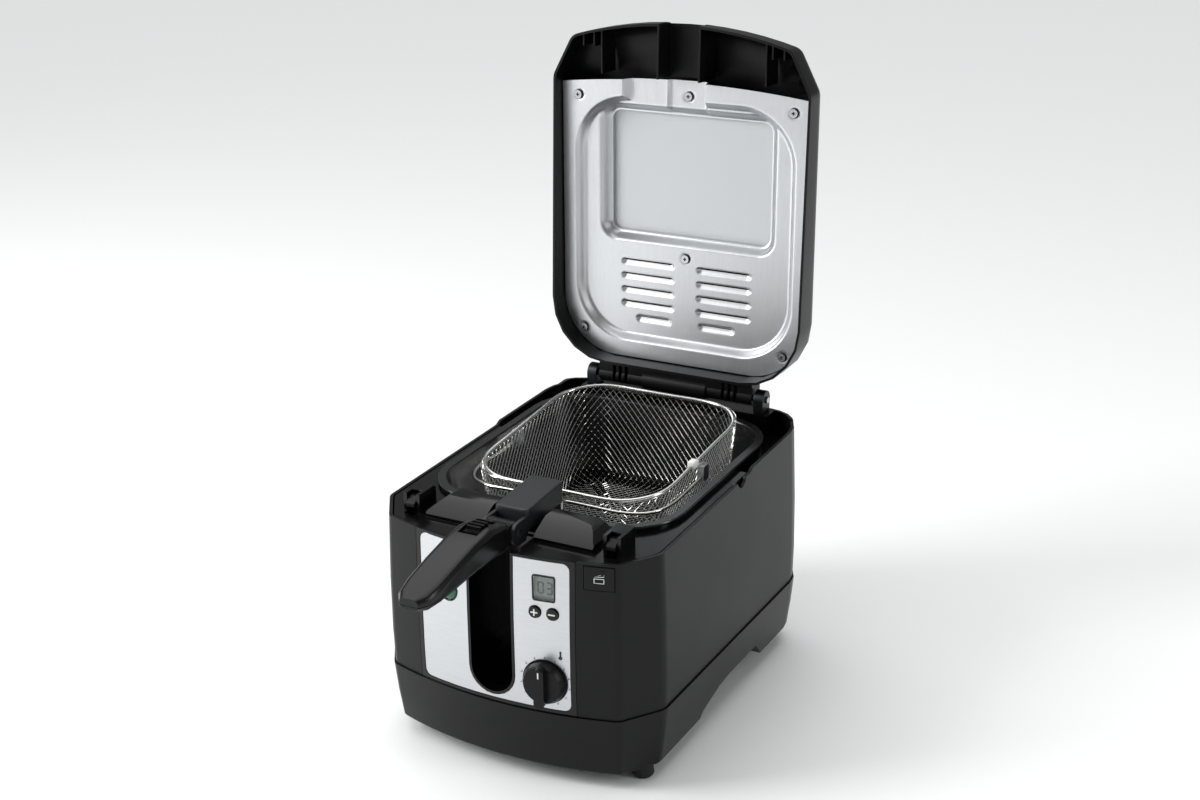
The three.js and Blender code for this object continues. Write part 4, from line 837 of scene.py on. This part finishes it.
# %% The thermometer and the dial's dashes
THERMOMETER = [[(0, 1.5), (0, 6)], arc(1.0, 0, 360, 10, centre=(0, 0))]
printed("thermometer_mark", THERMOMETER, 1.5, 63 * MM, 121 * MM, 0.0, "body", "brushed_steel", BLACK_INK)
dashes = [
    [
        (r * math.cos(math.radians(a)), r * math.sin(math.radians(a)))
        for r in (KNOB_RADIUS_MM + 2.2, KNOB_RADIUS_MM + 3.8)
    ]
    for a in range(-60, 241, 25)
]
printed("dial_dashes", dashes, 0.6, KNOB_X, knob_z, -0.02, "body", "brushed_steel", BLACK_INK)
POINTER = [[(0, 10), (0, 15.5)]]
printed("knob_pointer", POINTER, 1.2, KNOB_X, knob_z, 14.72, "thermostat", "satin_black", WHITE_INK)

# %% [markdown]
# ## The display
# Behind the window is a liquid crystal panel. Its digits are made of the seven bars of any timer, and a
# dark bezel runs round the window.

# %% Digits and bezel
BARS = {
    "a": [(-2.6, 6), (2.6, 6)],
    "b": [(3, 5.6), (3, 0.5)],
    "c": [(3, -0.5), (3, -5.6)],
    "d": [(-2.6, -6), (2.6, -6)],
    "e": [(-3, -0.5), (-3, -5.6)],
    "f": [(-3, 5.6), (-3, 0.5)],
    "g": [(-2.6, 0), (2.6, 0)],
}
digits = []
DISPLAY_X = 49.3 * MM
DISPLAY_HALF_X = 8.8 * MM
for letters, offset in (("abcdef", -3.7), ("abcdg", 3.9)):
    digits += [[(0.74 * px + offset, 0.8 * pz - 0.8) for px, pz in BARS[letter]] for letter in letters]
printed("display_digits", digits, 1.5, DISPLAY_X, display.z, -4.05, "body", "lcd", LCD_INK)
display_half = (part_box("display_lens")[1].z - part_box("display_lens")[0].z) / 2
BEZEL_WIRE = 0.7 * MM
BEZEL_CORNER = 1.4 * MM
bezel_size = (DISPLAY_HALF_X + BEZEL_WIRE, display_half + BEZEL_WIRE, BEZEL_CORNER)
bezel_line = [(x, 0, z) for x, z in outline(*bezel_size, 64)]
bezel = wires_from([bezel_line], BEZEL_WIRE, closed=True)
bezel.matrix_world = front_matrix(DISPLAY_X, display.z, -0.1 * MM) @ Matrix.Diagonal((1, 0.5, 1, 1))
settle(bezel, "display_bezel", "body", GLOSS_ABS)

# %% [markdown]
# ## Rings round the dial and the lamp
# A dial sits in a shallow dark ring that hides the gap between it and the plate. Each ring is a circle of
# wire with its section pressed flat against the plate.


# %% Rings
def ring_on_front(name, radius_mm, wire_mm, x, z, stand_mm, flat, material):
    circle = [(px * MM, 0, pz * MM) for px, pz in arc(radius_mm, 0, 360, 64)[:-1]]
    piece = wires_from([circle], wire_mm * MM, closed=True, sides=3)
    piece.matrix_world = front_matrix(x, z, stand_mm * MM) @ Matrix.Diagonal((1, flat, 1, 1))
    return settle(piece, name, "body", material)


ring_on_front("dial_ring", KNOB_RADIUS_MM + 0.6, 0.8, KNOB_X, knob_z, -0.1, 0.5, GLOSS_ABS)
lamp_z = middle("indicator_lens").z
ring_on_front("lamp_ring", 9.5, 0.6, -42 * MM, lamp_z, 0.0, 0.7, GLOSS_ABS)

# %% [markdown]
# ## The white tab on the rim
# A small nylon tab is clipped over the rim on the right, where the yoke's wire turns in.

# %% Rim tab
tab_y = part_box("yoke_clip_right")[0].y - 6 * MM
tab_z = rim_mid_z + RIM_SLOPE * (tab_y - centre_y)
bpy.ops.mesh.primitive_cube_add(size=1, location=(half_x - 0.5 * MM, tab_y, tab_z + 0.5 * MM))
tab = bpy.context.object
tab.scale = (7 * MM, 10 * MM, 7 * MM)
only(tab)
bpy.ops.object.transform_apply(location=True, rotation=True, scale=True)
bpy.ops.object.mode_set(mode="EDIT")
bpy.ops.mesh.select_all(action="SELECT")
bpy.ops.mesh.bevel(offset=1.4 * MM, segments=3)
bpy.ops.object.mode_set(mode="OBJECT")
settle(tab, "rim_tab", "basket", WHITE_NYLON)

# %% [markdown]
# ## The studio
# A pale floor runs back under a pale sky, and a wide glow from the ceiling lights it evenly. A large soft
# light from the upper left draws the highlights along the column and the lid, and a narrow one from the
# right shapes the side. The sky looks brighter than it shines, so that black plastic stays black.

# %% Floor and sky
bpy.ops.mesh.primitive_plane_add(size=30, location=(0, 0, 0))
floor = bpy.context.object
floor.name = "studio_floor"
floor_paint, _, _ = start_material("pale studio floor", "#f4f5f5", 0.9)
floor.data.materials.append(floor_paint)

SKY_SHINE = 0.25
sky = bpy.data.worlds.new("pale sky")
sky.use_nodes = True
seen = sky.node_tree.nodes["Background"]
seen.inputs["Color"].default_value = colour("#fdfefe")
seen.inputs["Strength"].default_value = 1.0
shining = sky.node_tree.nodes.new("ShaderNodeBackground")
shining.inputs["Color"].default_value = colour("#fbfcfd")
shining.inputs["Strength"].default_value = SKY_SHINE
either = sky.node_tree.nodes.new("ShaderNodeMixShader")
path = sky.node_tree.nodes.new("ShaderNodeLightPath")
output = sky.node_tree.nodes["World Output"]
sky.node_tree.links.new(path.outputs["Is Camera Ray"], either.inputs["Fac"])
sky.node_tree.links.new(shining.outputs["Background"], either.inputs[1])
sky.node_tree.links.new(seen.outputs["Background"], either.inputs[2])
sky.node_tree.links.new(either.outputs["Shader"], output.inputs["Surface"])
bpy.context.scene.world = sky
bpy.context.scene.view_settings.view_transform = "Standard"


# %% Lights
def soft_light(name, place, aim, size, power):
    bpy.ops.object.light_add(type="AREA", location=place)
    light = bpy.context.object
    light.name = name
    light.data.shape = "RECTANGLE"
    light.data.size, light.data.size_y = size
    light.data.energy = power
    light.rotation_euler = (Vector(place) - Vector(aim)).to_track_quat("Z", "Y").to_euler()
    return light


MIDDLE = (0, 0, 0.25)
soft_light("left_softbox", (-1.6, -1.1, 1.2), MIDDLE, (0.8, 1.6), 46)
soft_light("right_softbox", (1.9, 0.1, 1.0), MIDDLE, (0.4, 1.4), 10)
bpy.ops.object.light_add(type="SUN", location=(-0.5, -0.3, 2))
ceiling = bpy.context.object
ceiling.name = "ceiling_glow"
ceiling.data.energy = 1.9
ceiling.data.angle = math.radians(70)
ceiling.rotation_euler = (math.radians(-12), math.radians(-14), 0)
